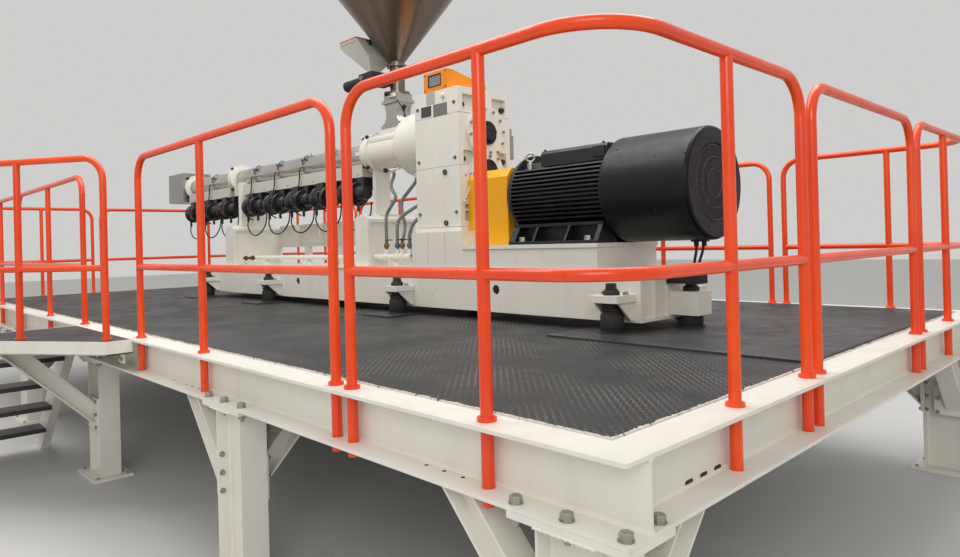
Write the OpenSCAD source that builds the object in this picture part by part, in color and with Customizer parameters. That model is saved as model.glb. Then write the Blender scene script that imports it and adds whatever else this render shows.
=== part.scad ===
// Single-screw plastic extruder standing on a raised steel platform with
// bent-tube guard rails, a corner landing and an open stair.
// Units are millimetres. The floor is z = 0 and the machine runs along x,
// from the motor at +x to the screen changer at -x. Modules below draw in a
// plan whose origin is the near front corner of the platform; on_plan()
// moves them so that the middle of the whole plan is the origin.

/* [Platform] */
// Length of the platform along the machine
platform_l = 8800; // [8780:10:8900]
// Width of the platform across the machine
platform_w = 3900; // [3860:10:4100]
// Height of the top of the edge beams above the floor
deck_z = 1000; // [900:20:1200]
// Depth of the edge beams
beam_h = 200; // [180:5:220]
// Flange width of the edge beams
flange_w = 200; // [190:5:210]
// Thickness of the chequer plate
plate_t = 6; // [4:1:8]
// Depth of the column section, along the machine
column_d = 250; // [200:10:260]
// Flange width of the column section
column_w = 125; // [100:5:150]

/* [Guard rails] */
// Height of the centre of the top rail above the deck beams
rail_h = 1050; // [1000:10:1100]
// Height of the centre of the middle rail above the deck beams
mid_h = 415; // [400:5:500]
// Radius of the rail tube
tube_r = 19; // [17:0.5:21]
// Radius of the bend from a post into the top rail
bend_r = 130; // [100:5:160]
// Distance of the posts from the outer edge of the beam
post_in = 64; // [60:1:70]

/* [Landing and stair] */
// How far the landing reaches out in front of the platform
landing_out = 870; // [800:10:950]
// Going of each step
going = 200; // [190:5:230]
// Depth of each tread
tread_d = 220; // [200:5:240]

/* [Extruder] */
// Distance of the machine's centre line from the front of the platform
axis_y = 2090; // [2050:10:2150]
// Height of the screw axis above the deck beams
screw_h = 1270; // [1250:5:1290]
// Height of the motor axis above the deck beams
motor_h = 788; // [786:1:792]
// Radius of the motor's fan cowl
cowl_r = 300; // [290:1:300]
// Outer radius of the barrel covers
cover_r = 97; // [90:1:100]
// Radius of the barrel tube
barrel_r = 62; // [55:1:70]
// Radius of the hopper's cylinder
hopper_r = 470; // [430:5:500]

/* [Hidden] */
flange_t = 12;
web_t = 8;
root = 9;
beam_z = deck_z - beam_h;
column_x = [-190, -2170, -4280, -6490, 190 - platform_l];
base_plate = [380, 240, 16];
anchor_x = 320;
anchor_y = 180;
anchor_r = 11;
top_plate_t = 20;
row_y = [flange_w / 2, platform_w - flange_w / 2];
brace_low = 300;
brace_high = 545;
brace_w = 100;
end_plate_t = 12;
floor_z = deck_z + plate_t;
mount_plate_t = 10;
pad_z = floor_z + mount_plate_t;
post_z = beam_z - 40;
stand_z = beam_z + flange_t;
collar_r = 29;
corner_bend = 230;
base_x = [-6550, -1110];
base_hw = 300;
base_z = [deck_z + 62, deck_z + 340];
motor_x = [-2160, -2045, -1366, -830];
gear_x = [-3000, -2534];
gear_hw = 250;
gear_z = [deck_z + 586, deck_z + 1574];
bell_x = -3000;
ring_x = -3830;
ring_r = 168;
screw_z = deck_z + screw_h;
motor_z = deck_z + motor_h;
plinth_z = deck_z + 486;
guard_z = deck_z + 985;
cap_z = deck_z + 715;
head_x = [-8060, -7600];
landing_x = [-4500, -3360];
chamfer_y = -126;
landing_t = 120;
stair_x = landing_x[0];
stair_y = [-810, -70];
stair_up = 20;
riser = deck_z / 5;
hopper_x = -3520;
pipe_r = 60;
neck_r = 152;
plinth_x = -2470;
core_r = 225;
feed_box = [-3820, -3640];
feed_box_hw = 240;
barrel_box = [-6190, -6000];
barrel_box_hw = 275;
trunk_z = [screw_z - 195, screw_z - 88];
throat_z = screw_z + 166;
blower_y = axis_y - 105;
blower_z = screw_z - 330;
blower_x = [-4216, -4662, -5108, -5554, -6020, -6660, -7104, -7540];
lead_x = [45, 275];
boss = [[screw_z, 180, 82], [deck_z + 1000, 155, 86]];
hose_r = 9;
hose_a = [[-3560, -30, 1090], [-3560, -30, 1060], [-3545, -70, 995], [-3490, -105, 945],
    [-3415, -130, 890], [-3410, -140, 855], [-3450, -150, 805], [-3485, -160, 755],
    [-3490, -170, 700], [-3490, -170, 640], [-3490, -170, 472]];
hose_b = [[-3200, -90, 1010], [-3205, -90, 985], [-3250, -95, 945], [-3315, -95, 900],
    [-3370, -98, 850], [-3372, -105, 790], [-3350, -110, 720], [-3315, -120, 660],
    [-3290, -150, 590], [-3290, -170, 540], [-3290, -170, 472]];
hose_c = [[-3000, -100, 830], [-3070, -100, 830], [-3150, -110, 802], [-3230, -125, 768],
    [-3300, -145, 730], [-3342, -162, 685], [-3350, -170, 630], [-3350, -170, 472]];
hose_d = [[-3000, -130, 720], [-3060, -130, 720], [-3125, -145, 695], [-3175, -160, 645],
    [-3200, -170, 575], [-3200, -170, 472]];
tee_x = [-3490, -3350, -3290, -3200];
tee_z = base_z[1] + 132;
cable_r = 8;
cable_a = [[-950, 0, 480], [-950, 0, 466], [-972, 0, 345], [-972, 0, 326]];
cable_b = [[-905, 0, 480], [-905, 0, 466], [-945, 0, 345], [-945, 0, 326]];
$fn = 48;

white = [0.9, 0.89, 0.85];
orange = [0.93, 0.3, 0.1];
dark = [0.2, 0.21, 0.22];
black = [0.06, 0.06, 0.07];
steel = [0.72, 0.73, 0.74];
yellow = [0.9, 0.65, 0.05];
amber = [0.95, 0.58, 0.1];

// Moves the corner plan so that the middle of the part is the origin
module on_plan() {
    translate([platform_l / 2, (landing_out - platform_w) / 2, 0]) children();
}

// Box between two opposite corners
module block(a, b) {
    translate(a) cube(b - a);
}

// Round bar along x from a to b
module bar_x(a, b, y, z, r) {
    translate([a, y, z]) rotate([0, 90, 0]) cylinder(h = b - a, r = r);
}

// Rolled wide-flange profile standing on y = 0, with its root chamfers
module wide_flange(h, w, ft, wt) {
    hw = w / 2;
    hx = wt / 2;
    half = [[hw, 0], [hw, ft], [hx + root, ft], [hx, ft + root],
        [hx, h - ft - root], [hx + root, h - ft], [hw, h - ft], [hw, h]];
    other = [for (i = [len(half) - 1:-1:0]) [-half[i][0], half[i][1]]];
    polygon(concat(half, other));
}

// Beam of the edge section along x from a to b, centred on y
module beam_x(a, b, y) {
    translate([a, y, beam_z])
        rotate([90, 0, 90])
            linear_extrude(b - a) wide_flange(beam_h, flange_w, flange_t, web_t);
}

// Beam of the edge section along y, coped to reach the webs of both edge beams
module cross_beam(x, w) {
    span = platform_w - 2 * flange_w;
    reach = platform_w - flange_w - web_t;
    translate([x, flange_w, beam_z])
        rotate([90, 0, 180])
            linear_extrude(span) wide_flange(beam_h, w, flange_t, web_t);
    block([x - web_t / 2, (platform_w - reach) / 2, beam_z + flange_t + root],
        [x + web_t / 2, (platform_w + reach) / 2, deck_z - flange_t - root]);
}

// Upright hole for a post: through both flanges, or through the upper one where it
// stands over the top plate of a column
module post_hole(x, y) {
    low = over_column(x) ? deck_z - flange_t - 1 : beam_z - 1;
    translate([x, y, low]) cylinder(h = deck_z + 1 - low, r = tube_r + 1);
}

// Posts along the front and rear edges, as distances from the near end
front_posts = [509, 1189, 1293, 2483, 3383, 4554, 5552, 6660, 6760, 7540, 8291];
rear_posts = [509, 1189, 1293, 2200, 3040, 3150, 4000, 4850, 4960, 5810, 6660, 6760, 7540, 8291];
side_posts = [661, 1211, 1311, 2589, 2689, 3239];
function over_column(x) =
    len([for (c = column_x) if (abs(x - c) < base_plate[0] / 2 + tube_r + 1) c]) > 0;
function foot_z(x) = over_column(x) ? stand_z : post_z;

// Butt joint of the front beam over the second column, a slit all through
module splice() {
    block([column_x[1] - 1, -1, beam_z - 1], [column_x[1] + 1, flange_w + 1, deck_z + 1]);
}

module front_beam() {
    color(white) on_plan() difference() {
        beam_x(-platform_l, 0, row_y[0]);
        for (x = -front_posts) post_hole(x, post_in);
        splice();
    }
}

module rear_beam() {
    color(white) on_plan() difference() {
        beam_x(-platform_l, 0, row_y[1]);
        for (x = -rear_posts) post_hole(x, platform_w - post_in);
    }
}

module cross_beams() {
    color(white) on_plan() {
        for (x = [-flange_w / 2, flange_w / 2 - platform_l])
            difference() {
                cross_beam(x, flange_w);
                for (y = side_posts)
                    translate([x + sign(x + platform_l / 2) * (flange_w / 2 - post_in), y,
                        beam_z - 1])
                        cylinder(h = beam_h + 2, r = tube_r + 1);
            }
        for (x = [-1180, -2170, -3225, -4280, -5385, -6490, -7550]) cross_beam(x, 120);
    }
}

module deck_plate() {
    lip = 132;
    color(dark) on_plan()
        block([lip - platform_l, lip, deck_z], [-lip, platform_w - lip, floor_z]);
}

// Levelling mounts: front face, rear face and one under each end of the base
mount_side_x = [-1235, -3085, -5040, -6400];
mount_y = [1650, 2 * axis_y - 1650];
mount_out = 84;
mount_h = 158;
lug_t = 38;
stud_r = 14;
mount_end_y = axis_y + 70;

module floor_plates() {
    color(dark) on_plan() {
        block([-1460, 1440, floor_z], [-140, 2900, pad_z]);
        for (i = [1:3], y = mount_y)
            block([mount_side_x[i] - 150, y - 140, floor_z],
                [mount_side_x[i] + 150, y + 140, pad_z]);
    }
}

// Column with its anchor-bolted base plate and bolted top plate
module column(x, y) {
    difference() {
        block([x - base_plate[0] / 2, y - base_plate[1] / 2, 0],
            [x + base_plate[0] / 2, y + base_plate[1] / 2, base_plate[2]]);
        for (sx = [-1, 1], sy = [-1, 1])
            translate([x + sx * anchor_x / 2, y + sy * anchor_y / 2, -1])
                cylinder(h = base_plate[2] + 2, r = anchor_r);
    }
    translate([x, y, base_plate[2]])
        linear_extrude(beam_z - top_plate_t - base_plate[2])
            rotate(90) translate([0, -column_d / 2])
                wide_flange(column_d, column_w, 9, 6);
    block([x - base_plate[0] / 2, y - flange_w / 2, beam_z - top_plate_t],
        [x + base_plate[0] / 2, y + flange_w / 2, beam_z]);
}

module front_columns() {
    color(white) on_plan() for (x = column_x) column(x, row_y[0]);
}

module rear_columns() {
    color(white) on_plan() for (x = column_x) column(x, row_y[1]);
}

// Knee brace from a column face up to the beam, at 45 degrees, with end plates
module brace(plate_w, top) {
    rise = top - end_plate_t;
    run_low = rise - brace_low + end_plate_t;
    run_high = rise - brace_high + end_plate_t;
    skin = 12;
    low = [[end_plate_t, brace_low], [run_low, rise], [run_low - skin, rise],
        [end_plate_t, brace_low + skin]];
    high = [[end_plate_t, brace_high - skin], [run_high + skin, rise], [run_high, rise],
        [end_plate_t, brace_high]];
    mid = [[end_plate_t, brace_low + 1], [run_low - 1, rise], [run_high + 1, rise],
        [end_plate_t, brace_high - 1]];
    rotate([90, 0, 0]) {
        translate([0, 0, -brace_w / 2]) linear_extrude(brace_w) polygon(low);
        translate([0, 0, -brace_w / 2]) linear_extrude(brace_w) polygon(high);
        translate([0, 0, -3]) linear_extrude(6) polygon(mid);
    }
    block([0, -plate_w / 2, brace_low - 18], [end_plate_t, plate_w / 2, brace_high + 18]);
    block([run_high - 16, -brace_w / 2, rise], [run_low + 16, brace_w / 2, top]);
}

// Braces of one row of columns: along the beam, and inwards at both corners
module row_braces(y, inward) {
    half = column_d / 2;
    for (x = [column_x[1], column_x[3]], s = [-1, 1])
        translate([x + s * half, y, 0]) rotate(s > 0 ? 0 : 180) brace(120, beam_z);
    translate([column_x[0] - half, y, 0]) rotate(180) brace(120, beam_z);
    translate([column_x[4] + half, y, 0]) brace(120, beam_z);
    for (x = [column_x[0] + 55, column_x[4] - 55])
        translate([x, y + inward * column_w / 2, 0]) rotate(inward * 90) brace(240, beam_z);
}

module front_knee_braces() {
    color(white) on_plan() {
        row_braces(row_y[0], 1);
        translate([column_x[2], row_y[0] - column_w / 2, 0])
            rotate(-90) brace(240, deck_z - plate_t - landing_t);
    }
}

module rear_knee_braces() {
    color(white) on_plan() row_braces(row_y[1], -1);
}

// Quarter bend from a post at x = 0 into the top rail towards +x
module end_bend() {
    translate([bend_r, 0, deck_z + rail_h - bend_r])
        rotate([90, 0, 0]) rotate([0, 0, 90])
            rotate_extrude(angle = 90) translate([bend_r, 0]) circle(r = tube_r);
}

// Upright from the foot up to a height, with the collar ring at deck level
module post(z0, z1) {
    translate([0, 0, z0]) cylinder(h = z1 - z0, r = tube_r);
    translate([0, 0, deck_z]) cylinder(h = 11, r = collar_r);
}

// Straight rail panel along +x with bent ends and a post between them; feet holds the
// foot heights of the post at x = 0, the one between and the one at l
module rail_panel(l, mids, feet) {
    top = deck_z + rail_h;
    post(feet[0], top - bend_r);
    translate([l, 0, 0]) post(feet[2], top - bend_r);
    end_bend();
    translate([l, 0, 0]) mirror([1, 0, 0]) end_bend();
    bar_x(bend_r, l - bend_r, 0, top, tube_r);
    bar_x(0, l, 0, deck_z + mid_h, tube_r - 1);
    for (x = mids) translate([x, 0, 0]) post(feet[1], top);
}

// Panel between three posts of a list, along the front or rear edge
module edge_panel(list, i) {
    rail_panel(list[i + 2] - list[i], [list[i + 2] - list[i + 1]],
        [for (k = [2, 1, 0]) foot_z(-list[i + k])]);
}

// Rail that turns a corner of the platform: one leg to -x, one leg to +y
module corner_rail(lx, mids_x, ly, mids_y) {
    top = deck_z + rail_h;
    for (h = [rail_h, mid_h]) {
        r = h == rail_h ? tube_r : tube_r - 1;
        cut = h == rail_h ? bend_r : 0;
        bar_x(cut - lx, -corner_bend, 0, deck_z + h, r);
        translate([0, corner_bend, deck_z + h])
            rotate([-90, 0, 0]) cylinder(h = ly - cut - corner_bend, r = r);
        translate([-corner_bend, corner_bend, deck_z + h])
            rotate(-90) rotate_extrude(angle = 90) translate([corner_bend, 0]) circle(r = r);
    }
    translate([-lx, 0, 0]) {
        post(post_z, top - bend_r);
        end_bend();
    }
    translate([0, ly, 0]) {
        post(post_z, top - bend_r);
        rotate(-90) end_bend();
    }
    for (x = mids_x) translate([-x, 0, 0]) post(post_z, top);
    for (y = mids_y) translate([0, y, 0]) post(post_z, top);
}

module front_rails() {
    color(orange) on_plan()
        for (i = [2, 5]) translate([-front_posts[i + 2], post_in, 0]) edge_panel(front_posts, i);
}

module rear_rails() {
    color(orange) on_plan()
        for (i = [2, 5, 8])
            translate([-rear_posts[i + 2], platform_w - post_in, 0]) edge_panel(rear_posts, i);
}

module side_rails() {
    color(orange) on_plan()
        for (x = [-post_in, post_in - platform_l])
            translate([x, side_posts[2], 0]) rotate(90)
                rail_panel(side_posts[3] - side_posts[2], [], [post_z, post_z, post_z]);
}

module near_corner_rails() {
    lx = front_posts[1] - post_in;
    mx = front_posts[0] - post_in;
    color(orange) on_plan() {
        translate([-post_in, post_in, 0])
            corner_rail(lx, [mx], side_posts[1] - post_in, [side_posts[0] - post_in]);
        translate([-post_in, platform_w - post_in, 0]) mirror([0, 1, 0])
            corner_rail(lx, [mx], side_posts[1] - post_in, [side_posts[0] - post_in]);
    }
}

module far_corner_rails() {
    lx = platform_l - front_posts[8] - post_in;
    mx = [for (i = [9, 10]) platform_l - front_posts[i] - post_in];
    color(orange) on_plan() {
        translate([post_in - platform_l, post_in, 0]) mirror([1, 0, 0])
            corner_rail(lx, mx, side_posts[1] - post_in, [side_posts[0] - post_in]);
        translate([post_in - platform_l, platform_w - post_in, 0]) rotate(180)
            corner_rail(lx, mx, side_posts[1] - post_in, [side_posts[0] - post_in]);
    }
}

// Outer edge of the landing: y of the slanting side, moved inwards by t
slant = [landing_x[0] - landing_x[1], chamfer_y + landing_out];
slant_len = norm(slant);
slant_n = [-(landing_out + chamfer_y) / slant_len, (landing_x[1] - landing_x[0]) / slant_len];
function slant_y(x, t) = chamfer_y + (t - slant_n[0] * (x - landing_x[1])) / slant_n[1];

module landing_outline(t) {
    a = landing_x[0] + t;
    b = landing_x[1] - t;
    polygon([[a, -t], [a, slant_y(a, t)], [b, slant_y(b, t)], [b, -t]]);
}

module landing_frame() {
    lip = 60;
    half = 30;
    z = deck_z - plate_t - landing_t;
    color(white) on_plan() {
        translate([0, 0, z]) difference() {
            linear_extrude(landing_t) landing_outline(0);
            translate([0, 0, -1]) linear_extrude(landing_t + 2) landing_outline(lip);
        }
        for (x = [column_x[2], -3850])
            translate([0, 0, z]) linear_extrude(landing_t)
                polygon([[x - half, -lip], [x + half, -lip],
                    [x + half, slant_y(x + half, lip)], [x - half, slant_y(x - half, lip)]]);
        for (x = [landing_x[1] - 80, -3850, column_x[2], landing_x[0] + 6])
            block([x - 6, 0, beam_z + flange_t], [x + 6, (flange_w - web_t) / 2 - root - 2,
                deck_z - flange_t]);
    }
}

module landing_deck() {
    color(dark) on_plan()
        translate([0, 0, deck_z - plate_t]) linear_extrude(plate_t) landing_outline(0);
}

// Handrail along the slope of the stair, joined to its posts by ball fittings
module handrail(a, b, z) {
    rise = (b - a) * riser / going;
    run = norm([b - a, rise]);
    slope = atan2(rise, b - a);
    translate([a, 0, z]) rotate([0, 90 - slope, 0]) cylinder(h = run, r = tube_r);
    translate([a, 0, z - 450]) rotate([0, 90 - slope, 0]) cylinder(h = run, r = tube_r - 1);
    for (end = [[a, z], [b, z + rise]]) translate([end[0], 0, end[1]]) {
        sphere(r = tube_r + 6);
        translate([0, 0, -1000]) cylinder(h = 1000, r = tube_r);
    }
}

// Slanting panel of the landing, and the handrail down the outer stringer
module landing_rails() {
    a = -3440;
    b = landing_x[0] + 60;
    pa = [a, slant_y(a, 60)];
    pb = [b, slant_y(b, 60)];
    l = norm(pb - pa);
    y = stair_y[0] - 26;
    up = deck_z + stair_up;
    color(orange) on_plan() {
        translate([pa[0], pa[1], 0])
            rotate(atan2(pb[1] - pa[1], pb[0] - pa[0])) rail_panel(l, [l / 2], [deck_z, deck_z, deck_z]);
        difference() {
            translate([0, y, 0]) handrail(stair_x - 840, stair_x - 240, 1080);
            translate([0, y + 50, 0]) rotate([90, 0, 0]) linear_extrude(100)
                polygon([[stair_x + 200, -200], [stair_x + 200, up + 200],
                    [stair_x - up - 200, -200]]);
        }
    }
}

// Stringer: channel on the slope of the stair, web towards +y
module stringer() {
    top = deck_z - plate_t;
    up = deck_z + stair_up;
    low = deck_z - 200;
    t = 12;
    k = going / riser;
    lip_x = stair_x - (up - top) * k;
    rotate([90, 0, 0]) {
        translate([0, 0, -8]) linear_extrude(8)
            polygon([[stair_x, low], [stair_x, top], [lip_x, top],
                [stair_x - up * k, 0], [stair_x - low * k, 0]]);
        linear_extrude(52) polygon([[stair_x, low], [stair_x, low + t],
            [stair_x - (low + t) * k, 0], [stair_x - low * k, 0]]);
        linear_extrude(52) polygon([[lip_x, top], [lip_x + t * k, top],
            [stair_x - (up - t) * k, 0], [stair_x - up * k, 0]]);
    }
}

module stair_stringers() {
    color(white) on_plan() {
        translate([0, stair_y[1], 0]) mirror([0, 1, 0]) stringer();
        translate([0, stair_y[0], 0]) stringer();
    }
}

module stair_treads() {
    color(dark) on_plan()
        for (k = [1:4])
            block([stair_x - k * going - 20, stair_y[0] + 8, deck_z - k * riser - 30],
                [stair_x - k * going - 20 + tread_d, stair_y[1] - 8, deck_z - k * riser]);
}

// Welded base: top flange plate, round holes in the sides, framed panels in the ends
module base_frame() {
    z = base_z[1] - 14;
    color(white) on_plan() difference() {
        union() {
            block([base_x[0], axis_y - base_hw, base_z[0]], [base_x[1], axis_y + base_hw, z]);
            block([base_x[0] - 8, axis_y - base_hw - 8, z],
                [base_x[1] + 8, axis_y + base_hw + 8, base_z[1]]);
        }
        for (x = [-2170, -4650])
            translate([x, axis_y - base_hw - 1, base_z[0] + 143])
                rotate([-90, 0, 0]) cylinder(h = 60, r = 30);
        for (x = [base_x[0] - 1, base_x[1] - 20], y = [-275, -145, 160])
            block([x, axis_y + y, base_z[0] + 16], [x + 21, axis_y + y + 115, z - 16]);
    }
}

// Bracket over a levelling mount: thick lug plate on two gussets
module bracket() {
    reach = 165;
    difference() {
        block([-92, -reach, 0], [92, 0, lug_t]);
        translate([0, -mount_out, -1]) cylinder(h = lug_t + 2, r = stud_r + 1);
    }
    for (x = [-80, 68])
        translate([x, 0, 0]) rotate([90, 0, 90]) linear_extrude(12)
            polygon([[0, 0], [0, -100], [-24, -100], [-reach + 30, 0]]);
}

// Closed box bracket over the levelling mount at each end of the base
module end_bracket() {
    difference() {
        block([-76, -162, -92], [76, 0, lug_t]);
        block([-64, -150, -93], [64, -12, 0]);
        translate([0, -mount_out, -1]) cylinder(h = lug_t + 2, r = stud_r + 1);
    }
}

module mount_brackets() {
    z = pad_z + mount_h;
    color(white) on_plan() {
        for (x = mount_side_x) {
            translate([x, axis_y - base_hw, z]) bracket();
            translate([x, axis_y + base_hw, z]) rotate(180) bracket();
        }
        translate([base_x[1], mount_end_y, z]) rotate(90) end_bracket();
    }
}

// Levelling mount: rubber body, flange and neck under the lug, collar and stud over it
module levelling_mount() {
    rotate_extrude() polygon([[0, 0], [66, 0], [66, 10], [61, 16], [61, 106], [52, 122],
        [52, 134], [36, 134], [36, mount_h], [stud_r, mount_h], [stud_r, mount_h + lug_t],
        [44, mount_h + lug_t], [44, mount_h + lug_t + 24], [stud_r + 6, mount_h + lug_t + 30],
        [stud_r + 6, mount_h + lug_t + 46], [0, mount_h + lug_t + 46]]);
}

module levelling_mounts() {
    color(black) on_plan() {
        for (x = mount_side_x, s = [-1, 1])
            translate([x, axis_y + s * (base_hw + mount_out), pad_z]) levelling_mount();
        translate([base_x[1] + mount_out, mount_end_y, pad_z]) levelling_mount();
    }
}

module motor_plinth() {
    color(white) on_plan() {
        block([plinth_x, axis_y - base_hw, base_z[1]], [-1380, axis_y + base_hw, plinth_z - 24]);
        block([plinth_x, axis_y - base_hw - 8, plinth_z - 24],
            [-1372, axis_y + base_hw + 8, plinth_z]);
    }
}

module gearbox_pedestal() {
    color(white) on_plan() difference() {
        block([-3010, axis_y - base_hw, base_z[1]], [plinth_x, axis_y + base_hw, gear_z[0]]);
        for (x = [-2830, -2650])
            block([x - 2, axis_y - base_hw - 1, base_z[1] + 20],
                [x + 2, axis_y - base_hw + 4, gear_z[0] + 1]);
    }
}

// Box column that carries the barrel: bevelled cap, framed panel in the side towards
// the motor, and an upright plate px = [from, to] on a foot
module support(box, hw, px, plate_hw) {
    t = 24;
    difference() {
        block([box[0], axis_y - hw, base_z[1]], [box[1], axis_y + hw, cap_z]);
        block([box[1] - 14, axis_y - hw + 30, base_z[1] + 25], [box[1] + 1, axis_y + hw - 30, cap_z - 25]);
    }
    translate([0, axis_y + hw, 0]) rotate([90, 0, 0])
        linear_extrude(2 * hw)
            polygon([[box[0], cap_z], [box[1], cap_z], [box[1] - t, cap_z + 25],
                [box[0] + t, cap_z + 25]]);
    block([box[0] + t, axis_y - plate_hw - 20, cap_z + 25],
        [box[1] - t, axis_y + plate_hw + 20, cap_z + 41]);
    block([px[0], axis_y - plate_hw, cap_z + 41], [px[1], axis_y + plate_hw, screw_z - 60]);
}

module feed_support() {
    color(white) on_plan() difference() {
        support(feed_box, feed_box_hw, [-3790, -3752], 75);
        bar_x(-3900, -3400, axis_y, screw_z, ring_r);
    }
}

module barrel_support() {
    color(white) on_plan() difference() {
        support(barrel_box, barrel_box_hw, [-6130, -6070], 150);
        bar_x(-6300, -5900, axis_y, screw_z, cover_r);
    }
}

// Finned motor frame: round core with level cooling fins, a domed end shield, and a
// long cast foot on each side with sloping face, ribs and three pockets
module motor_body() {
    x0 = motor_x[1];
    x1 = motor_x[2];
    tip = 285;
    pitch = 25;
    foot_x = [x0 - 10, x1 - 14];
    pockets = [[x0 + 40, x0 + 178], [x0 + 194, x0 + 422], [x0 + 436, x1 - 44]];
    color(black) on_plan() {
        translate([x0, axis_y, motor_z]) rotate([90, 0, 90]) linear_extrude(x1 - x0) {
            circle(r = core_r);
            for (k = [-6:6])
                intersection() {
                    circle(r = tip);
                    translate([-tip, k * pitch - 5]) square([2 * tip, 10]);
                }
        }
        translate([motor_x[0], axis_y, motor_z]) rotate([0, 90, 0])
            rotate_extrude() polygon([[0, 0], [150, 0], [150, 42], [232, 48], [252, 60],
                [270, 96], [270, x0 - motor_x[0]], [0, x0 - motor_x[0]]]);
        translate([0, axis_y, plinth_z]) {
            motor_foot(foot_x, pockets);
            mirror([0, 1, 0]) motor_foot(foot_x, pockets);
        }
    }
}

// Foot casting towards -y: sloping front with an open pocket between each pair of ribs
module motor_foot(reach, pockets) {
    difference() {
        translate([reach[0], 0, 0]) rotate([90, 0, 90]) linear_extrude(reach[1] - reach[0])
            polygon([[-110, 0], [-292, 0], [-292, 16], [-240, 104], [-240, 122], [-130, 134],
                [-110, 110]]);
        for (p = pockets) block([p[0], -300, 18], [p[1], -195, 104]);
    }
}

// Fan cowl with a rounded rim, and a grille of fine louvres round a middle disc, set
// back in its end face
module motor_cowl() {
    x0 = motor_x[2];
    x1 = motor_x[3];
    l = x1 - x0;
    louvre = 12.5;
    color(black) on_plan() difference() {
        union() {
            translate([x0, axis_y, motor_z]) rotate([0, 90, 0])
                rotate_extrude() polygon([[0, 0], [cowl_r - 6, 0], [cowl_r, 12],
                    [cowl_r, l - 20], [cowl_r - 5, l - 7], [cowl_r - 16, l], [212, l],
                    [204, l - 8], [0, l - 8]]);
            block([cable_a[0][0] - 20, axis_y - 22, deck_z + cable_a[0][2]],
                [cable_b[0][0] + 20, axis_y + 22, motor_z - cowl_r + 20]);
        }
        difference() {
            for (k = [-15:15])
                intersection() {
                    bar_x(x1 - 36, x1 + 1, axis_y, motor_z, 200);
                    block([x1 - 36, axis_y - 201, motor_z + k * louvre - 3],
                        [x1 + 1, axis_y + 201, motor_z + k * louvre + 3]);
                }
            bar_x(x1 - 37, x1 + 2, axis_y, motor_z, 64);
        }
        difference() {
            bar_x(x1 - 14, x1 + 1, axis_y, motor_z, 44);
            bar_x(x1 - 15, x1 + 2, axis_y, motor_z, 38);
        }
    }
}

// Terminal box along the top of the motor, bedded on its core, with a cable gland pad
module terminal_box() {
    z = [motor_z + 166, motor_z + 262];
    x = [-1850, motor_x[2]];
    color(black) on_plan() {
        difference() {
            translate([x[0], axis_y, 0]) rotate([90, 0, 90]) linear_extrude(x[1] - x[0])
                polygon([[-205, z[0]], [205, z[0]], [205, z[1] - 20], [190, z[1]],
                    [-190, z[1]], [-205, z[1] - 20]]);
            bar_x(x[0] - 1, x[1] + 1, axis_y, motor_z, core_r);
        }
        block([x[1] - 95, axis_y - 217, z[0] + 20], [x[1] - 10, axis_y - 205, z[1] - 16]);
    }
}

// Guard over the coupling, notched over the end of the pedestal
module coupling_guard() {
    hw = 180;
    color(yellow) on_plan() difference() {
        translate([gear_x[1], axis_y, 0]) rotate([90, 0, 90]) linear_extrude(motor_x[0] - gear_x[1])
            polygon([[-hw, plinth_z], [hw, plinth_z], [hw, guard_z - 55], [hw - 45, guard_z],
                [45 - hw, guard_z], [-hw, guard_z - 55]]);
        block([gear_x[1] - 1, axis_y - hw - 1, plinth_z - 1], [plinth_x, axis_y + hw + 1, gear_z[0]]);
    }
}

// Cast gearbox: parting grooves, pockets between its bolt flanges in the motor side,
// and a round bearing boss over each shaft
module gearbox_housing() {
    x0 = gear_x[0];
    x1 = gear_x[1];
    y0 = axis_y - gear_hw;
    y1 = axis_y + gear_hw;
    color(white) on_plan() {
        difference() {
            block([x0, y0, gear_z[0]], [x1, y1, gear_z[1]]);
            for (z = [deck_z + 619, deck_z + 1037, deck_z + 1395])
                difference() {
                    block([x0 - 1, y0 - 1, z - 2], [x1 + 1, y1 + 1, z + 2]);
                    block([x0 + 4, y0 + 4, z - 3], [x1 - 4, y1 - 4, z + 3]);
                }
            for (s = [-1, 1], z = [[1410, 1524], [1045, 1140], [657, 726], [738, 770]])
                translate([x1, axis_y + s * (z[0] > 1000 ? 142 : 185), deck_z])
                    block([-34, z[0] > 1000 ? -68 : -24, z[0]], [1, z[0] > 1000 ? 68 : 24, z[1]]);
        }
        bar_x(x1 - 34, x1 + 20, axis_y, boss[0][0], boss[0][1]);
        difference() {
            bar_x(x1 - 34, x1 + 20, axis_y, boss[1][0], boss[1][1]);
            block([x1 - 1, axis_y - 200, guard_z - 200], [x1 + 30, axis_y + 200, guard_z]);
        }
    }
}

// Black caps over the shaft ends, in the middle of the bosses
module bearing_covers() {
    x = gear_x[1] + 20;
    color(black) on_plan() {
        bar_x(x, x + 14, axis_y, boss[0][0], boss[0][2]);
        bar_x(x + 14, x + 34, axis_y, boss[0][0], boss[0][2] - 26);
        difference() {
            bar_x(x, x + 14, axis_y, boss[1][0], boss[1][2]);
            block([x - 1, axis_y - 200, guard_z - 200], [x + 30, axis_y + 200, guard_z]);
        }
    }
}

module oil_pump() {
    x = -2640;
    y = axis_y + gear_hw + 62;
    color(white) on_plan() {
        block([x - 50, axis_y + gear_hw, screw_z - 130], [x + 50, y, screw_z]);
        translate([x, y, screw_z - 150]) cylinder(h = 170, r = 62);
        translate([x, y, screw_z + 20]) cylinder(h = 50, r = 50);
    }
}

// Operating panel box: sloping lid, screen set back in its front
module control_box() {
    y = axis_y - gear_hw;
    z = gear_z[1];
    color(amber) on_plan() difference() {
        translate([-2890, 0, 0]) rotate([90, 0, 90]) linear_extrude(245)
            polygon([[y, z], [axis_y + 130, z], [axis_y + 130, z + 66], [y + 60, z + 138],
                [y, z + 138]]);
        block([-2842, y - 1, z + 32], [-2704, y + 8, z + 118]);
    }
}

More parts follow.
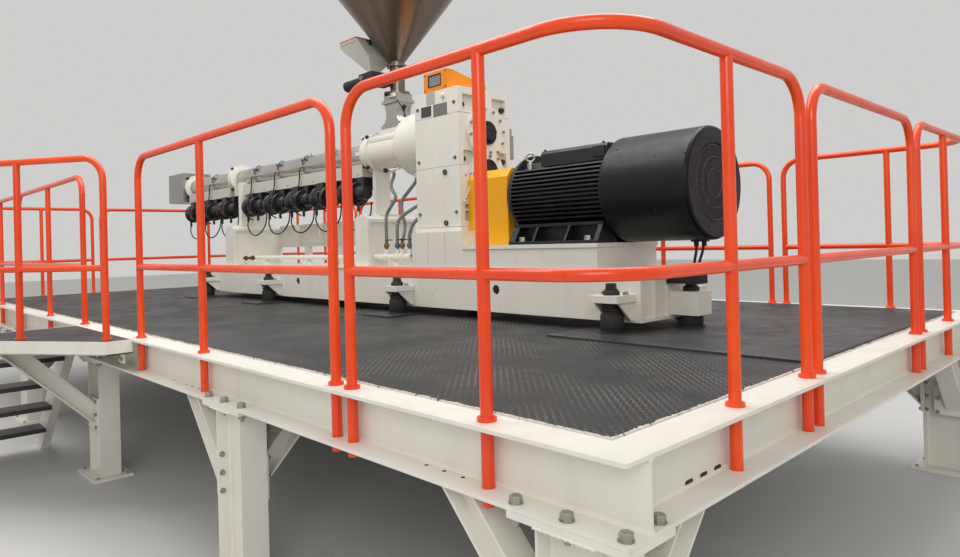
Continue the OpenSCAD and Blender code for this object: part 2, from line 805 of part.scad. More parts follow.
// Feed housing: round bell on the gearbox, stepped down to the feed cylinder, with a
// flange ring for the barrel and a bed for the throat
module feed_housing() {
    l = bell_x - ring_x;
    step = [[245, 0], [245, 262], [241, 279], [230, 293], [210, 306], [188, 317], [170, 330],
        [158, 348], [neck_r, 375]];
    color(white) on_plan() {
        translate([bell_x, axis_y, screw_z]) rotate([0, -90, 0])
            rotate_extrude() polygon(concat([[0, 0]], step, [[neck_r, l - 80],
                [neck_r + 5, l - 76], [ring_r, l - 76], [ring_r, l], [0, l]]));
        block([hopper_x - 150, axis_y - 84, screw_z], [hopper_x + 140, axis_y + 84, throat_z]);
        for (s = [-1, 1])
            translate([0, axis_y + s * 128, screw_z + 80])
                block([-3740, -12, -12], [bell_x - 300, 12, 12]);
        for (h = [hose_a[0], hose_b[0]])
            translate([0, axis_y, deck_z] + h) cylinder(h = 60, r = 15);
    }
}

// Feed throat: waisted casting between two flanges, and the slide gate on it
module feed_throat() {
    z = throat_z;
    waist = [for (a = [0:15:180])
        [66 + 40 * (1 - sin(a)) * (a > 90 ? 0.6 : 1), 30 + 168 * a / 180]];
    left = [for (i = [len(waist) - 1:-1:0]) [-waist[i][0], waist[i][1]]];
    color(steel) on_plan() translate([hopper_x, axis_y, z]) {
        block([-125, -80, 0], [125, 80, 30]);
        translate([0, 71, 0]) rotate([90, 0, 0]) linear_extrude(142) polygon(concat(waist, left));
        block([-102, -90, 198], [102, 90, 218]);
        block([-88, -74, 218], [88, 74, 274]);
        block([-112, -12, 230], [-88, 12, 256]);
    }
}

// Hopper: pressed cone and open cylinder of thin sheet, on its outlet pipe
module hopper() {
    z = throat_z + 274;
    t = 4;
    h = deck_z + 1968 - z;
    cone = (hopper_r - pipe_r) / 0.77;
    rim = h + cone + 500;
    color(steel) on_plan()
        translate([hopper_x, axis_y, z]) rotate_extrude()
            polygon([[100, 0], [100, 16], [pipe_r, 16], [pipe_r, h - 40], [84, h - 40],
                [84, h - 26], [pipe_r, h - 26], [pipe_r, h], [hopper_r, h + cone],
                [hopper_r, rim], [hopper_r + 14, rim], [hopper_r + 14, rim + 14],
                [hopper_r - t, rim + 14], [hopper_r - t, h + cone + 2],
                [pipe_r - t, h + 2], [pipe_r - t, 0]]);
}

// Side doser: slanting trough that leans down to the outlet of the hopper
module doser_hopper() {
    color(white) on_plan() translate([0, axis_y, deck_z]) hull() {
        block([-4120, -260, 2196], [-3790, -50, 2200]);
        block([-3760, -250, 1933], [-3420, -200, 1937]);
        block([-3700, -250, 1865], [-3500, -200, 1869]);
    }
}

module doser_drive() {
    color(black) on_plan() translate([0, axis_y, deck_z]) {
        difference() {
            block([-3690, -255, 1790], [-3510, -15, 1865]);
            translate([hopper_x, 0, 1780]) cylinder(h = 90, r = pipe_r);
        }
        bar_x(-3920, -3690, -210, 1815, 44);
    }
}

module barrel() {
    color(steel) on_plan() bar_x(head_x[1], ring_x, axis_y, screw_z, barrel_r);
}

// Heater covers, each a sleeve closed round the barrel
cover_x = [-3876, -4480, -5090, -5700, -6300];

module barrel_covers() {
    color(steel) on_plan() {
        for (i = [0:3])
            difference() {
                bar_x(cover_x[i + 1] + 16, cover_x[i], axis_y, screw_z, cover_r);
                bar_x(cover_x[i + 1], cover_x[i] + 16, axis_y, screw_z, barrel_r);
            }
        for (c = [[-6960, -6400], [-7560, -6980]])
            difference() {
                bar_x(c[0], c[1], axis_y, screw_z, cover_r);
                bar_x(c[0] - 16, c[1] + 16, axis_y, screw_z, barrel_r);
            }
    }
}

module barrel_clamps() {
    color(steel) on_plan()
        for (c = [[-3870, ring_x], [-6390, -6310], [head_x[1], -7562]])
            difference() {
                bar_x(c[0], c[1], axis_y, screw_z, 150);
                bar_x(c[0] - 1, c[1] + 1, axis_y, screw_z, barrel_r);
            }
}

// Wiring trunk under the covers, in lengths between the supports
trunk_x = [[-7540, -6400], [-6290, -6140], [-6060, -3876]];

module wiring_trunk() {
    color(white) on_plan()
        for (x = trunk_x)
            difference() {
                block([x[0], axis_y - 120, trunk_z[0]], [x[1], axis_y + 75, trunk_z[1]]);
                bar_x(x[0] - 1, x[1] + 1, axis_y, screw_z, cover_r);
            }
}

// Cooling blower: scroll, ribbed motor drum and end cap in line, with its terminal lid
module blower() {
    ribs = [for (i = [0:4]) each [[92, 130 + i * 40], [92, 152 + i * 40], [100, 156 + i * 40],
        [100, 166 + i * 40]]];
    rotate([0, 90, 0]) rotate_extrude() polygon(concat([[0, 0], [58, 0], [70, 10], [106, 10],
        [106, 66], [84, 72], [84, 100], [104, 104], [104, 126]], ribs,
        [[104, 330], [104, 352], [66, 362], [60, 396], [0, 396]]));
    block([150, -96, 10], [280, -40, 62]);
    for (x = lead_x) block([x - 12, -12, -114], [x + 12, 12, -80]);
}

module cooling_blowers() {
    color(black) on_plan() {
        for (x = blower_x) translate([x, blower_y, blower_z]) blower();
        for (x = [trunk_x[0], [blower_x[4], -3850]])
            block([x[0], axis_y - 135, blower_z + 88], [x[1], axis_y + 60, trunk_z[0]]);
    }
}

// Screen changer block with its outlet flange
module screen_changer() {
    xm = head_x[0];
    color(steel) on_plan() difference() {
        union() {
            block([xm, axis_y - 170, screw_z - 175], [head_x[1], axis_y + 170, screw_z + 175]);
            bar_x(xm - 70, xm, axis_y, screw_z, 140);
        }
        bar_x(xm - 71, head_x[1] + 1, axis_y, screw_z, 30);
        for (a = [0:45:315])
            bar_x(xm - 71, xm - 20, axis_y + 105 * cos(a + 22.5), screw_z + 105 * sin(a + 22.5), 9);
    }
}

// Water pipe along the front, broken by the feed support, with tees and post plates
module water_manifold() {
    y = axis_y - 170;
    z = base_z[1] + 72;
    color(white) on_plan() {
        bar_x(-5700, feed_box[0], y, z, 21);
        bar_x(feed_box[1] - 14, -3180, y, z, 21);
        for (x = tee_x) {
            translate([x, y, z]) cylinder(h = tee_z - z, r = 17);
            bar_x(x - 24, x + 24, y, z, 27);
        }
        for (x = [-5500, -4700, -4100, -3420]) translate([x - 6, y, base_z[1]]) {
            block([0, -34, 0], [12, 34, z - base_z[1]]);
            rotate([90, 0, 0]) translate([0, 0, -6]) linear_extrude(12)
                polygon([[12, 0], [90, 0], [12, 60]]);
        }
    }
}

// Long panel behind the pipe, from the barrel support to the feed support, stood on
// three posts, with a shelf along its foot and slanting ribs down its front
module rear_panel() {
    x0 = barrel_box[1];
    x1 = feed_box[0];
    y = axis_y + 250;
    z = [deck_z + 510, deck_z + 740];
    bays = 5;
    color(white) on_plan() {
        block([x0, y, z[0]], [x1, y + 12, z[1]]);
        block([x0, y - 36, z[0]], [x1, y, z[0] + 12]);
        for (i = [1:bays - 1])
            translate([x0 + i * (x1 - x0) / bays, y, 0]) rotate([90, 0, 90]) linear_extrude(12)
                polygon([[0, z[0] + 12], [-36, z[0] + 12], [-70, z[1]], [0, z[1]]]);
        for (x = [-5400, -4790, -4180])
            block([x - 50, y - 20, base_z[1]], [x + 50, y + 12, z[0]]);
    }
}

// Tube of eight sides swept along a route, closed at both ends
module swept_tube(route, r) {
    n = len(route);
    m = 8;
    rings = [for (i = [0:n - 1])
        let (d = route[min(i + 1, n - 1)] - route[max(i - 1, 0)],
            t = d / norm(d),
            u0 = cross(t, [0, 1, 0]),
            u = u0 / norm(u0),
            v = cross(t, u))
        for (k = [0:m - 1]) route[i] + r * (cos(k * 360 / m) * u + sin(k * 360 / m) * v)];
    sides = [for (i = [0:n - 2], k = [0:m - 1])
        each let (a = i * m + k, b = i * m + (k + 1) % m) [[a, a + m, b], [b, a + m, b + m]]];
    ends = [[for (k = [0:m - 1]) k], [for (k = [m - 1:-1:0]) (n - 1) * m + k]];
    polyhedron(rings, concat(sides, ends));
}

// Grey hoses from the feed housing and the gearbox down to the tees of the pipe
module water_hoses() {
    color(steel) on_plan() translate([0, axis_y, deck_z])
        for (route = [hose_a, hose_b, hose_c, hose_d]) swept_tube(route, hose_r);
}

// Black leads: a hanging loop under each blower, and two from the fan cowl to its box
module black_leads() {
    r = 5;
    loop = (lead_x[1] - lead_x[0]) / 2;
    up = 25;
    color(black) on_plan() {
        for (x = blower_x) translate([x + lead_x[0] + loop, blower_y, blower_z - 114 - up]) {
            rotate([90, 0, 0]) rotate([0, 0, 180])
                rotate_extrude(angle = 180) translate([loop, 0]) circle(r = r);
            for (s = [-1, 1]) translate([s * loop, 0, 0]) cylinder(h = up, r = r);
        }
        translate([0, axis_y, deck_z])
            for (route = [cable_a, cable_b]) swept_tube(route, cable_r);
    }
}

// Cable box on the near end of the base, under its top flange
module cable_box() {
    color(black) on_plan()
        block([base_x[1], axis_y - 45, base_z[1] - 84],
            [cable_b[3][0] + 30, axis_y + 45, deck_z + cable_a[3][2]]);
}

front_beam();
rear_beam();
cross_beams();
deck_plate();
floor_plates();
front_columns();
rear_columns();
front_knee_braces();
rear_knee_braces();
front_rails();
near_corner_rails();
side_rails();
far_corner_rails();
rear_rails();
landing_frame();
landing_deck();
landing_rails();
stair_stringers();
stair_treads();
base_frame();
mount_brackets();
levelling_mounts();
motor_plinth();
gearbox_pedestal();
feed_support();
barrel_support();
motor_body();
motor_cowl();
terminal_box();
coupling_guard();
gearbox_housing();
bearing_covers();
oil_pump();
control_box();
feed_housing();
feed_throat();
hopper();
doser_hopper();
doser_drive();
barrel();
barrel_covers();
barrel_clamps();
wiring_trunk();
cooling_blowers();
screen_changer();
water_manifold();
rear_panel();
water_hoses();
black_leads();
cable_box();
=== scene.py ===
"""Plastic extruder on its raised steel platform: finishes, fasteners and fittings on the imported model."""
import math

import bpy
import numpy as np
from mathutils import Matrix, Vector


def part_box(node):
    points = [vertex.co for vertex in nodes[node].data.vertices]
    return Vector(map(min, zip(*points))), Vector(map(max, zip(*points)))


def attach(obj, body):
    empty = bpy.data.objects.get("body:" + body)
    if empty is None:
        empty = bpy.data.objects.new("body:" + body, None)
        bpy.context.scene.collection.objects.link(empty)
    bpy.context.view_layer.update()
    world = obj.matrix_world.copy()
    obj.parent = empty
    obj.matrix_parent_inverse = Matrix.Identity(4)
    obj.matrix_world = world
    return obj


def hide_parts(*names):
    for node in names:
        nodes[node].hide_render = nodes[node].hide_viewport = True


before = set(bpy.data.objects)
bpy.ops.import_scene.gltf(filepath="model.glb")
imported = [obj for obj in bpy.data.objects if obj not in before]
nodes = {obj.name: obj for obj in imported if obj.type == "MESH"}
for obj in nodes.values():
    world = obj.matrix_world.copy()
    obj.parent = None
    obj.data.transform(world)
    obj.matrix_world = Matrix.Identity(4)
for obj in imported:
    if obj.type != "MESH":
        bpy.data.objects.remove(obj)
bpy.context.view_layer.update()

# Places are given from the near front corner of the deck beams, in metres: x along the machine
# (negative towards the screen changer), y across it, z above the beams.
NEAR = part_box("front_beam")[1].x
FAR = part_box("front_beam")[0].x
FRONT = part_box("front_beam")[0].y
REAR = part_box("rear_beam")[1].y
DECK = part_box("front_beam")[1].z
WIDTH = REAR - FRONT
LENGTH = NEAR - FAR

# The deck beams' height and the thickness of their flanges
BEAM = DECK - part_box("front_beam")[0].z
FLANGE = 0.012

# The machine's middle plane, and the heights of the screw and of the motor shaft
AXIS = 2.09
SCREW = 1.27
MOTOR = 0.788

# Rail posts along the front, the rear and the two ends, and how far they stand in from the edge
FRONT_POSTS = (0.509, 1.189, 1.293, 2.483, 3.383, 4.554, 5.552, 6.66, 6.76, 7.54, 8.291)
REAR_POSTS = (0.509, 1.189, 1.293, 2.2, 3.04, 3.15, 4.0, 4.85, 4.96, 5.81, 6.66, 6.76, 7.54, 8.291)
SIDE_POSTS = (0.661, 1.211, 1.311, 2.589, 2.689, 3.239)
POST_INSET = 0.064

# Barrel: the joints between heaters, the far and near end of each sheet cover, and its radius
BANDS = (-4.38, -4.874, -5.358, -5.856, -6.912)
COVERS = ((-4.372, -3.876), (-4.866, -4.388), (-5.35, -4.882), (-5.848, -5.366), (-6.284, -5.864),
          (-6.904, -6.4), (-7.56, -6.92))
COVER_R = 0.097

# Columns: their places in a row, the two rows, their H-section and its end plates
COLUMNS = (-0.19, -2.17, -4.28, -6.49, 0.19 - LENGTH)
ROWS = (0.1, WIDTH - 0.1)
COLUMN_DEEP = 0.25
COLUMN_WIDE = 0.125
TOP_PLATE = 0.02
BASE_PLATE = 0.016

# Levelling mounts: places along both sides of the base frame, and the single one at its near end
MOUNTS_X = (-1.235, -3.085, -5.04, -6.4)
MOUNT_FRONT = 1.706
MOUNT_REAR = 2.474
END_MOUNT = (-1.026, 2.16)

# Faces that carry fittings: the gearbox's front and rear, the base frame's, the cowl's radius, the
# trunk's underside and the line of the water valves
GEARBOX_FRONT = 1.84
GEARBOX_REAR = 2.34
BASE_FRONT = 1.7985
BASE_REAR = 2.3815
COWL_R = 0.2995
TRUNK_LOW = 1.076
VALVES_Y = 1.92


def at(x, y, z):
    """The corner plan's point in the part's frame."""
    return (x + NEAR, y + FRONT, z + DECK)


def places(points):
    """Rows of corner-plan points as an array in the part's frame."""
    return np.asarray(points, float) + np.array([NEAR, FRONT, DECK])


# Camera, light and stage

# The photograph's width and height, its focal length and the row of its optical axis, in pixels
IMAGE_W = 960
IMAGE_H = 557
FOCAL = 686.0
AXIS_ROW = 240.8
SENSOR_MM = 36

# The camera's place, and the turns of its view from the line across the machine
CAMERA_PLACE = (0.883, -1.291, 0.503)
YAW = math.radians(45.96)
PITCH = math.radians(0.18)
ROLL = math.radians(-1.48)


def make_camera():
    """Camera at the photograph's place: its axes are the yawed and pitched view turned by the roll."""
    ahead = Vector((-math.sin(YAW) * math.cos(PITCH), math.cos(YAW) * math.cos(PITCH), math.sin(PITCH)))
    right = Vector((math.cos(YAW), math.sin(YAW), 0))
    up = right.cross(ahead)
    side = math.cos(ROLL) * right + math.sin(ROLL) * up
    top = math.cos(ROLL) * up - math.sin(ROLL) * right
    data = bpy.data.cameras.new("camera")
    data.sensor_width = SENSOR_MM
    data.lens = FOCAL * SENSOR_MM / IMAGE_W
    data.shift_y = (AXIS_ROW - IMAGE_H / 2) / IMAGE_W
    data.clip_end = 200
    camera = bpy.data.objects.new("camera", data)
    bpy.context.scene.collection.objects.link(camera)
    place = Vector(at(*CAMERA_PLACE))
    camera.matrix_world = Matrix((
        (side.x, top.x, -ahead.x, place.x),
        (side.y, top.y, -ahead.y, place.y),
        (side.z, top.z, -ahead.z, place.z),
        (0, 0, 0, 1)))
    bpy.context.scene.camera = camera


def area_lamp(name, place, target, width, depth, power):
    """Rectangular soft lamp that faces a point."""
    data = bpy.data.lights.new(name, "AREA")
    data.shape = "RECTANGLE"
    data.size = width
    data.size_y = depth
    data.energy = power
    lamp = bpy.data.objects.new(name, data)
    bpy.context.scene.collection.objects.link(lamp)
    lamp.location = place
    lamp.rotation_euler = (Vector(target) - Vector(place)).to_track_quat("-Z", "Y").to_euler()


def make_light():
    """Even pale world, a wide lamp over the machine and a softer one from the front."""
    world = bpy.data.worlds.new("hall_light")
    world.use_nodes = True
    ground = world.node_tree.nodes["Background"]
    ground.inputs["Color"].default_value = (1.0, 0.99, 0.97, 1)
    ground.inputs["Strength"].default_value = 0.62
    bpy.context.scene.world = world
    middle = at(-3.5, 1.9, 0.4)
    area_lamp("roof_lamp", at(-3.0, 1.5, 5.5), middle, 9, 4, 420)
    area_lamp("front_lamp", at(3.5, -4.5, 3.6), middle, 4, 3, 160)
    bpy.context.scene.view_settings.view_transform = "Standard"


def make_stage():
    """Plain grey floor at ground level, far wider than the object."""
    reach = 40
    mesh = bpy.data.meshes.new("floor")
    mesh.from_pydata([(-reach, -reach, 0), (reach, -reach, 0), (reach, reach, 0), (-reach, reach, 0)],
                     [], [(0, 1, 2, 3)])
    floor = bpy.data.objects.new("floor", mesh)
    bpy.context.scene.collection.objects.link(floor)
    mesh.materials.append(Finish("stage_floor", base_color=srgb(205, 205, 203), roughness=0.6).material)


# Meshes: a shape is a pair of a vertex array and a list of face arrays

def skin(points):
    """Quads between the rows of a (rows, columns, 3) grid of points, with the last column joined to the
    first, and one flat face over the first row and one over the last."""
    rows, cols = points.shape[:2]
    index = np.arange(rows * cols).reshape(rows, cols)
    beside = np.roll(index, -1, axis=1)
    quads = np.stack([index[:-1], beside[:-1], beside[1:], index[1:]], axis=-1).reshape(-1, 4)
    return points.reshape(-1, 3), [quads, index[:1, ::-1], index[-1:]]


def turned(profile, count=24):
    """Solid of revolution about z: each (radius, height) of the profile becomes a ring of count points
    at radius times the cosine and sine of evenly spaced angles."""
    profile = np.asarray(profile, float)
    angle = np.arange(count) * 2 * math.pi / count
    ring = np.stack([np.cos(angle), np.sin(angle)], axis=-1)
    points = np.empty((len(profile), count, 3))
    points[..., :2] = profile[:, None, :1] * ring[None]
    points[..., 2] = profile[:, None, 1]
    return skin(points)


def slab(low, high, bevel=0.002):
    """Box between two corners with all edges bevelled: one octagonal outline carried through four
    heights, drawn in by the bevel at the first and last."""
    low, high = np.minimum(low, high), np.maximum(low, high)
    half = (high - low) / 2
    b = min(bevel, half.min() * 0.9)
    corner = np.array([(1, 1), (-1, 1), (-1, -1), (1, -1)])
    one = corner * half[:2] - corner * [b, 0]
    two = corner * half[:2] - corner * [0, b]
    outline = np.empty((8, 2))
    outline[0::2] = np.where(corner[:, :1] * corner[:, 1:] > 0, two, one)
    outline[1::2] = np.where(corner[:, :1] * corner[:, 1:] > 0, one, two)
    levels = np.array([-half[2], b - half[2], half[2] - b, half[2]])
    inset = np.array([b, 0, 0, b])
    points = np.empty((4, 8, 3))
    points[..., :2] = outline[None] - np.sign(outline)[None] * inset[:, None, None]
    points[..., 2] = levels[:, None]
    return skin(points + (low + high) / 2)


def smooth_path(points, steps=8):
    """Catmull-Rom curve through the points: each span is the usual cubic of its four neighbours."""
    p = np.asarray(points, float)
    p = np.vstack([2 * p[0] - p[1], p, 2 * p[-1] - p[-2]])
    t = np.linspace(0, 1, steps, endpoint=False)[:, None, None]
    a, b, c, d = p[:-3], p[1:-2], p[2:-1], p[3:]
    curve = 0.5 * (2 * b + (c - a) * t + (2 * a - 5 * b + 4 * c - d) * t ** 2
                   + (3 * b - a - 3 * c + d) * t ** 3)
    return np.vstack([curve.transpose(1, 0, 2).reshape(-1, 3), p[-2:-1]])


def tube(path, radius, count=10):
    """Round tube carried along a path: at each point the circle lies in the plane normal to the tangent,
    with its first direction square to the main axis that the path keeps furthest from."""
    path = np.asarray(path, float)
    ahead = np.gradient(path, axis=0)
    ahead /= np.linalg.norm(ahead, axis=1, keepdims=True)
    side = np.cross(np.eye(3)[:, None], ahead[None])
    side = side[np.argmax(np.linalg.norm(side, axis=2).min(axis=1))]
    side /= np.linalg.norm(side, axis=1, keepdims=True)
    over = np.cross(ahead, side)
    angle = np.arange(count) * 2 * math.pi / count
    radius = np.broadcast_to(np.asarray(radius, float), (len(path),))[:, None, None]
    circle = side[:, None] * np.cos(angle)[None, :, None] + over[:, None] * np.sin(angle)[None, :, None]
    return skin(path[:, None] + radius * circle)


def frames_at(points, axis, spin=0.0):
    """A 4x4 frame at each point, with its z along the axis and turned about it by the spin."""
    z = np.asarray(axis, float) / np.linalg.norm(axis)
    guide = np.array([1.0, 0, 0]) if abs(z[0]) < 0.9 else np.array([0, 1.0, 0])
    x = np.cross(guide, z)
    x /= np.linalg.norm(x)
    y = np.cross(z, x)
    c, s = math.cos(spin), math.sin(spin)
    frames = np.tile(np.eye(4), (len(points), 1, 1))
    frames[:, :3, 0] = c * x + s * y
    frames[:, :3, 1] = c * y - s * x
    frames[:, :3, 2] = z
    frames[:, :3, 3] = points
    return frames


def hoop(radius, wire, count=24, sides=8):
    """Ring about z: a circle of the wire's radius carried round the radius and closed both ways."""
    a = np.arange(count)[:, None] * 2 * math.pi / count
    b = np.arange(sides)[None] * 2 * math.pi / sides
    reach = radius + wire * np.cos(b)
    points = np.stack([reach * np.cos(a), reach * np.sin(a), -wire * np.sin(b) + 0 * a], axis=-1)
    index = np.arange(count * sides).reshape(count, sides)
    ahead = np.roll(index, -1, axis=0)
    quads = np.stack([index, np.roll(index, -1, axis=1), np.roll(ahead, -1, axis=1), ahead], axis=-1)
    return points.reshape(-1, 3), [quads.reshape(-1, 4)]


def prism(outline, low, high, along):
    """Flat outline carried along the axis numbered 0, 1 or 2 from low to high; the outline's two numbers
    run along the other two axes of the corner plan in their order."""
    outline = np.asarray(outline, float)
    u, v = outline.T
    area = (u * np.roll(v, -1) - v * np.roll(u, -1)).sum()
    if (area > 0) == (along == 1):
        outline = outline[::-1]
    points = np.empty((2, len(outline), 3))
    points[..., [axis for axis in range(3) if axis != along]] = outline
    points[0, :, along] = low
    points[1, :, along] = high
    return skin(places(points))


def joined(shapes):
    """Several shapes as one."""
    start = np.cumsum([0] + [len(v) for v, _ in shapes])
    return (np.concatenate([v for v, _ in shapes]),
            [f + start[i] for i, (_, faces) in enumerate(shapes) for f in faces])


def repeat(shape, frames):
    """The shape set in each of the frames, as one shape."""
    verts, faces = shape
    placed = np.einsum("fij,vj->fvi", frames[:, :3, :3], verts) + frames[:, None, :3, 3]
    shift = np.arange(len(frames))[:, None, None] * len(verts)
    return placed.reshape(-1, 3), [(f[None] + shift).reshape(-1, f.shape[1]) for f in faces]


def put(shape, points, axis=(0, 0, 1), spin=0.0):
    """The shape at each of the corner-plan points, with its z along the axis."""
    return repeat(shape, frames_at(places(points), axis, spin))


def run(points, radius, count=8, steps=6):
    """Round rod, pipe or hose on a smooth curve through corner-plan points."""
    return tube(smooth_path(places(points), steps), radius, count)


def box(low, high, bevel=0.002):
    """Bevelled box between two corner-plan points."""
    return slab(places(low), places(high), bevel)


def piece(name, shapes, finish, replaces=(), crease=35):
    """Mesh object of the shapes, with smooth faces up to the crease angle in degrees, riding on the body."""
    verts, groups = joined(shapes)
    loops = np.concatenate([g.ravel() for g in groups])
    sizes = np.concatenate([np.full(len(g), g.shape[1]) for g in groups])
    mesh = bpy.data.meshes.new(name)
    mesh.vertices.add(len(verts))
    mesh.vertices.foreach_set("co", verts.astype(np.float32).ravel())
    mesh.loops.add(len(loops))
    mesh.loops.foreach_set("vertex_index", loops.astype(np.int32))
    mesh.polygons.add(len(sizes))
    mesh.polygons.foreach_set("loop_start", (np.cumsum(sizes) - sizes).astype(np.int32))
    mesh.polygons.foreach_set("loop_total", sizes.astype(np.int32))
    mesh.update(calc_edges=True)
    mesh.validate()
    mesh.polygons.foreach_set("use_smooth", np.ones(len(sizes), bool))
    mesh.set_sharp_from_angle(angle=math.radians(crease))
    mesh.materials.append(finish)
    made = bpy.data.objects.new(name, mesh)
    bpy.context.scene.collection.objects.link(made)
    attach(made, "root")
    if replaces:
        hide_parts(*replaces)


# Finishes

def srgb(red, green, blue):
    """A colour written in display values from 0 to 255, as linear values."""
    value = np.array([red, green, blue]) / 255
    linear = np.where(value <= 0.04045, value / 12.92, ((value + 0.055) / 1.055) ** 2.4)
    return (*linear.tolist(), 1.0)


class Finish:
    """A material and the nodes that lead to its shader. Each method adds one node and returns its output."""

    def __init__(self, name, **sockets):
        self.material = bpy.data.materials.new(name)
        self.material.use_nodes = True
        self.tree = self.material.node_tree
        self.shader = self.tree.nodes["Principled BSDF"]
        self.point = self.add("ShaderNodeTexCoord").outputs["Object"]
        for socket, value in sockets.items():
            self.set(socket.replace("_", " ").title().replace("Ior", "IOR"), value)

    def add(self, kind, settings=(), **sockets):
        """A node with its settings, and its sockets set to values or linked."""
        made = self.tree.nodes.new(kind)
        for key, value in dict(settings).items():
            setattr(made, key, value)
        for key, value in sockets.items():
            socket = made.inputs[int(key[1:])] if key[0] == "i" and key[1:].isdigit() else made.inputs[key]
            if isinstance(value, bpy.types.NodeSocket):
                self.tree.links.new(value, socket)
            else:
                socket.default_value = value
        return made

    def set(self, socket, value):
        """A socket of the shader, set to a value or linked."""
        target = self.shader.inputs[socket]
        if isinstance(value, bpy.types.NodeSocket):
            self.tree.links.new(value, target)
        else:
            target.default_value = value

    def scaled(self, x, y, z):
        """The object's point with each coordinate multiplied."""
        made = self.add("ShaderNodeVectorMath", {"operation": "MULTIPLY"}, i0=self.point, i1=(x, y, z))
        return made.outputs[0]

    def noise(self, scale, detail=3.0, rough=0.55, point=None):
        """Noise of a scale per metre."""
        made = self.add("ShaderNodeTexNoise", Scale=scale, Detail=detail, Roughness=rough,
                        Vector=point or self.point)
        return made.outputs["Fac"]

    def between(self, value, low, high, to_low=0.0, to_high=1.0):
        """The value's range low to high mapped to another range and clamped."""
        return self.add("ShaderNodeMapRange", i0=value, i1=low, i2=high, i3=to_low, i4=to_high).outputs[0]

    def math(self, operation, a, b=0.0):
        """One step of arithmetic."""
        return self.add("ShaderNodeMath", {"operation": operation}, i0=a, i1=b).outputs[0]

    def mix(self, amount, a, b):
        """Colour a blended towards colour b."""
        made = self.tree.nodes.new("ShaderNodeMix")
        made.data_type = "RGBA"
        for index, value in ((0, amount), (6, a), (7, b)):
            if isinstance(value, bpy.types.NodeSocket):
                self.tree.links.new(value, made.inputs[index])
            else:
                made.inputs[index].default_value = value
        return made.outputs[2]

    def axes(self):
        """The object's point split into x, y and z."""
        return self.add("ShaderNodeSeparateXYZ", i0=self.point).outputs

    def bump(self, height, distance, normal=None):
        """Surface normal pushed by a height, and by the one before it."""
        made = self.add("ShaderNodeBump", Height=height, Distance=distance, Strength=1.0)
        if normal is not None:
            self.tree.links.new(normal, made.inputs["Normal"])
        return made.outputs["Normal"]

    def edges(self, radius):
        """1 where the surface turns within the radius, 0 on flat stretches, and the rounded normal."""
        rounded = self.add("ShaderNodeBevel", {"samples": 4}, Radius=radius).outputs[0]
        true = self.add("ShaderNodeNewGeometry").outputs["True Normal"]
        dot = self.add("ShaderNodeVectorMath", {"operation": "DOT_PRODUCT"}, i0=rounded, i1=true)
        return self.between(dot.outputs["Value"], 0.985, 0.9), rounded


def painted(name, colour, worn, rough=0.36, dirt=0.1, chips=0.5):
    """Sprayed paint: slow tone changes, faint runs of dirt, small chips along the edges that show the
    worn colour, an uneven gloss and the fine ripple of spray."""
    ripple = 0.0002
    edge = 0.0025
    f = Finish(name)
    slow = f.between(f.noise(0.9, 4.0), 0.35, 0.65, 0.965, 1.03)
    runs = f.between(f.noise(5.0, 5.0, 0.6, f.scaled(1.0, 1.0, 0.22)), 0.5, 0.75, 0.0, dirt)
    tone = f.math("SUBTRACT", slow, runs)
    base = f.add("ShaderNodeVectorMath", {"operation": "SCALE"}, i0=colour[:3], Scale=tone).outputs[0]
    turn, rounded = f.edges(edge)
    grain = f.between(f.noise(70.0, 6.0, 0.7), 0.6, 0.66)
    patch = f.between(f.noise(6.0, 3.0), 0.5, 0.62, 0.0, chips)
    chip = f.math("MULTIPLY", f.math("MULTIPLY", turn, grain), patch)
    f.set("Base Color", f.mix(chip, base, worn))
    gloss = f.between(f.noise(14.0, 5.0), 0.3, 0.7, rough - 0.06, rough + 0.1)
    f.set("Roughness", f.math("ADD", gloss, f.math("MULTIPLY", chip, 0.3)))
    f.set("Normal", f.bump(f.noise(210.0, 2.0), ripple, rounded))
    return f.material


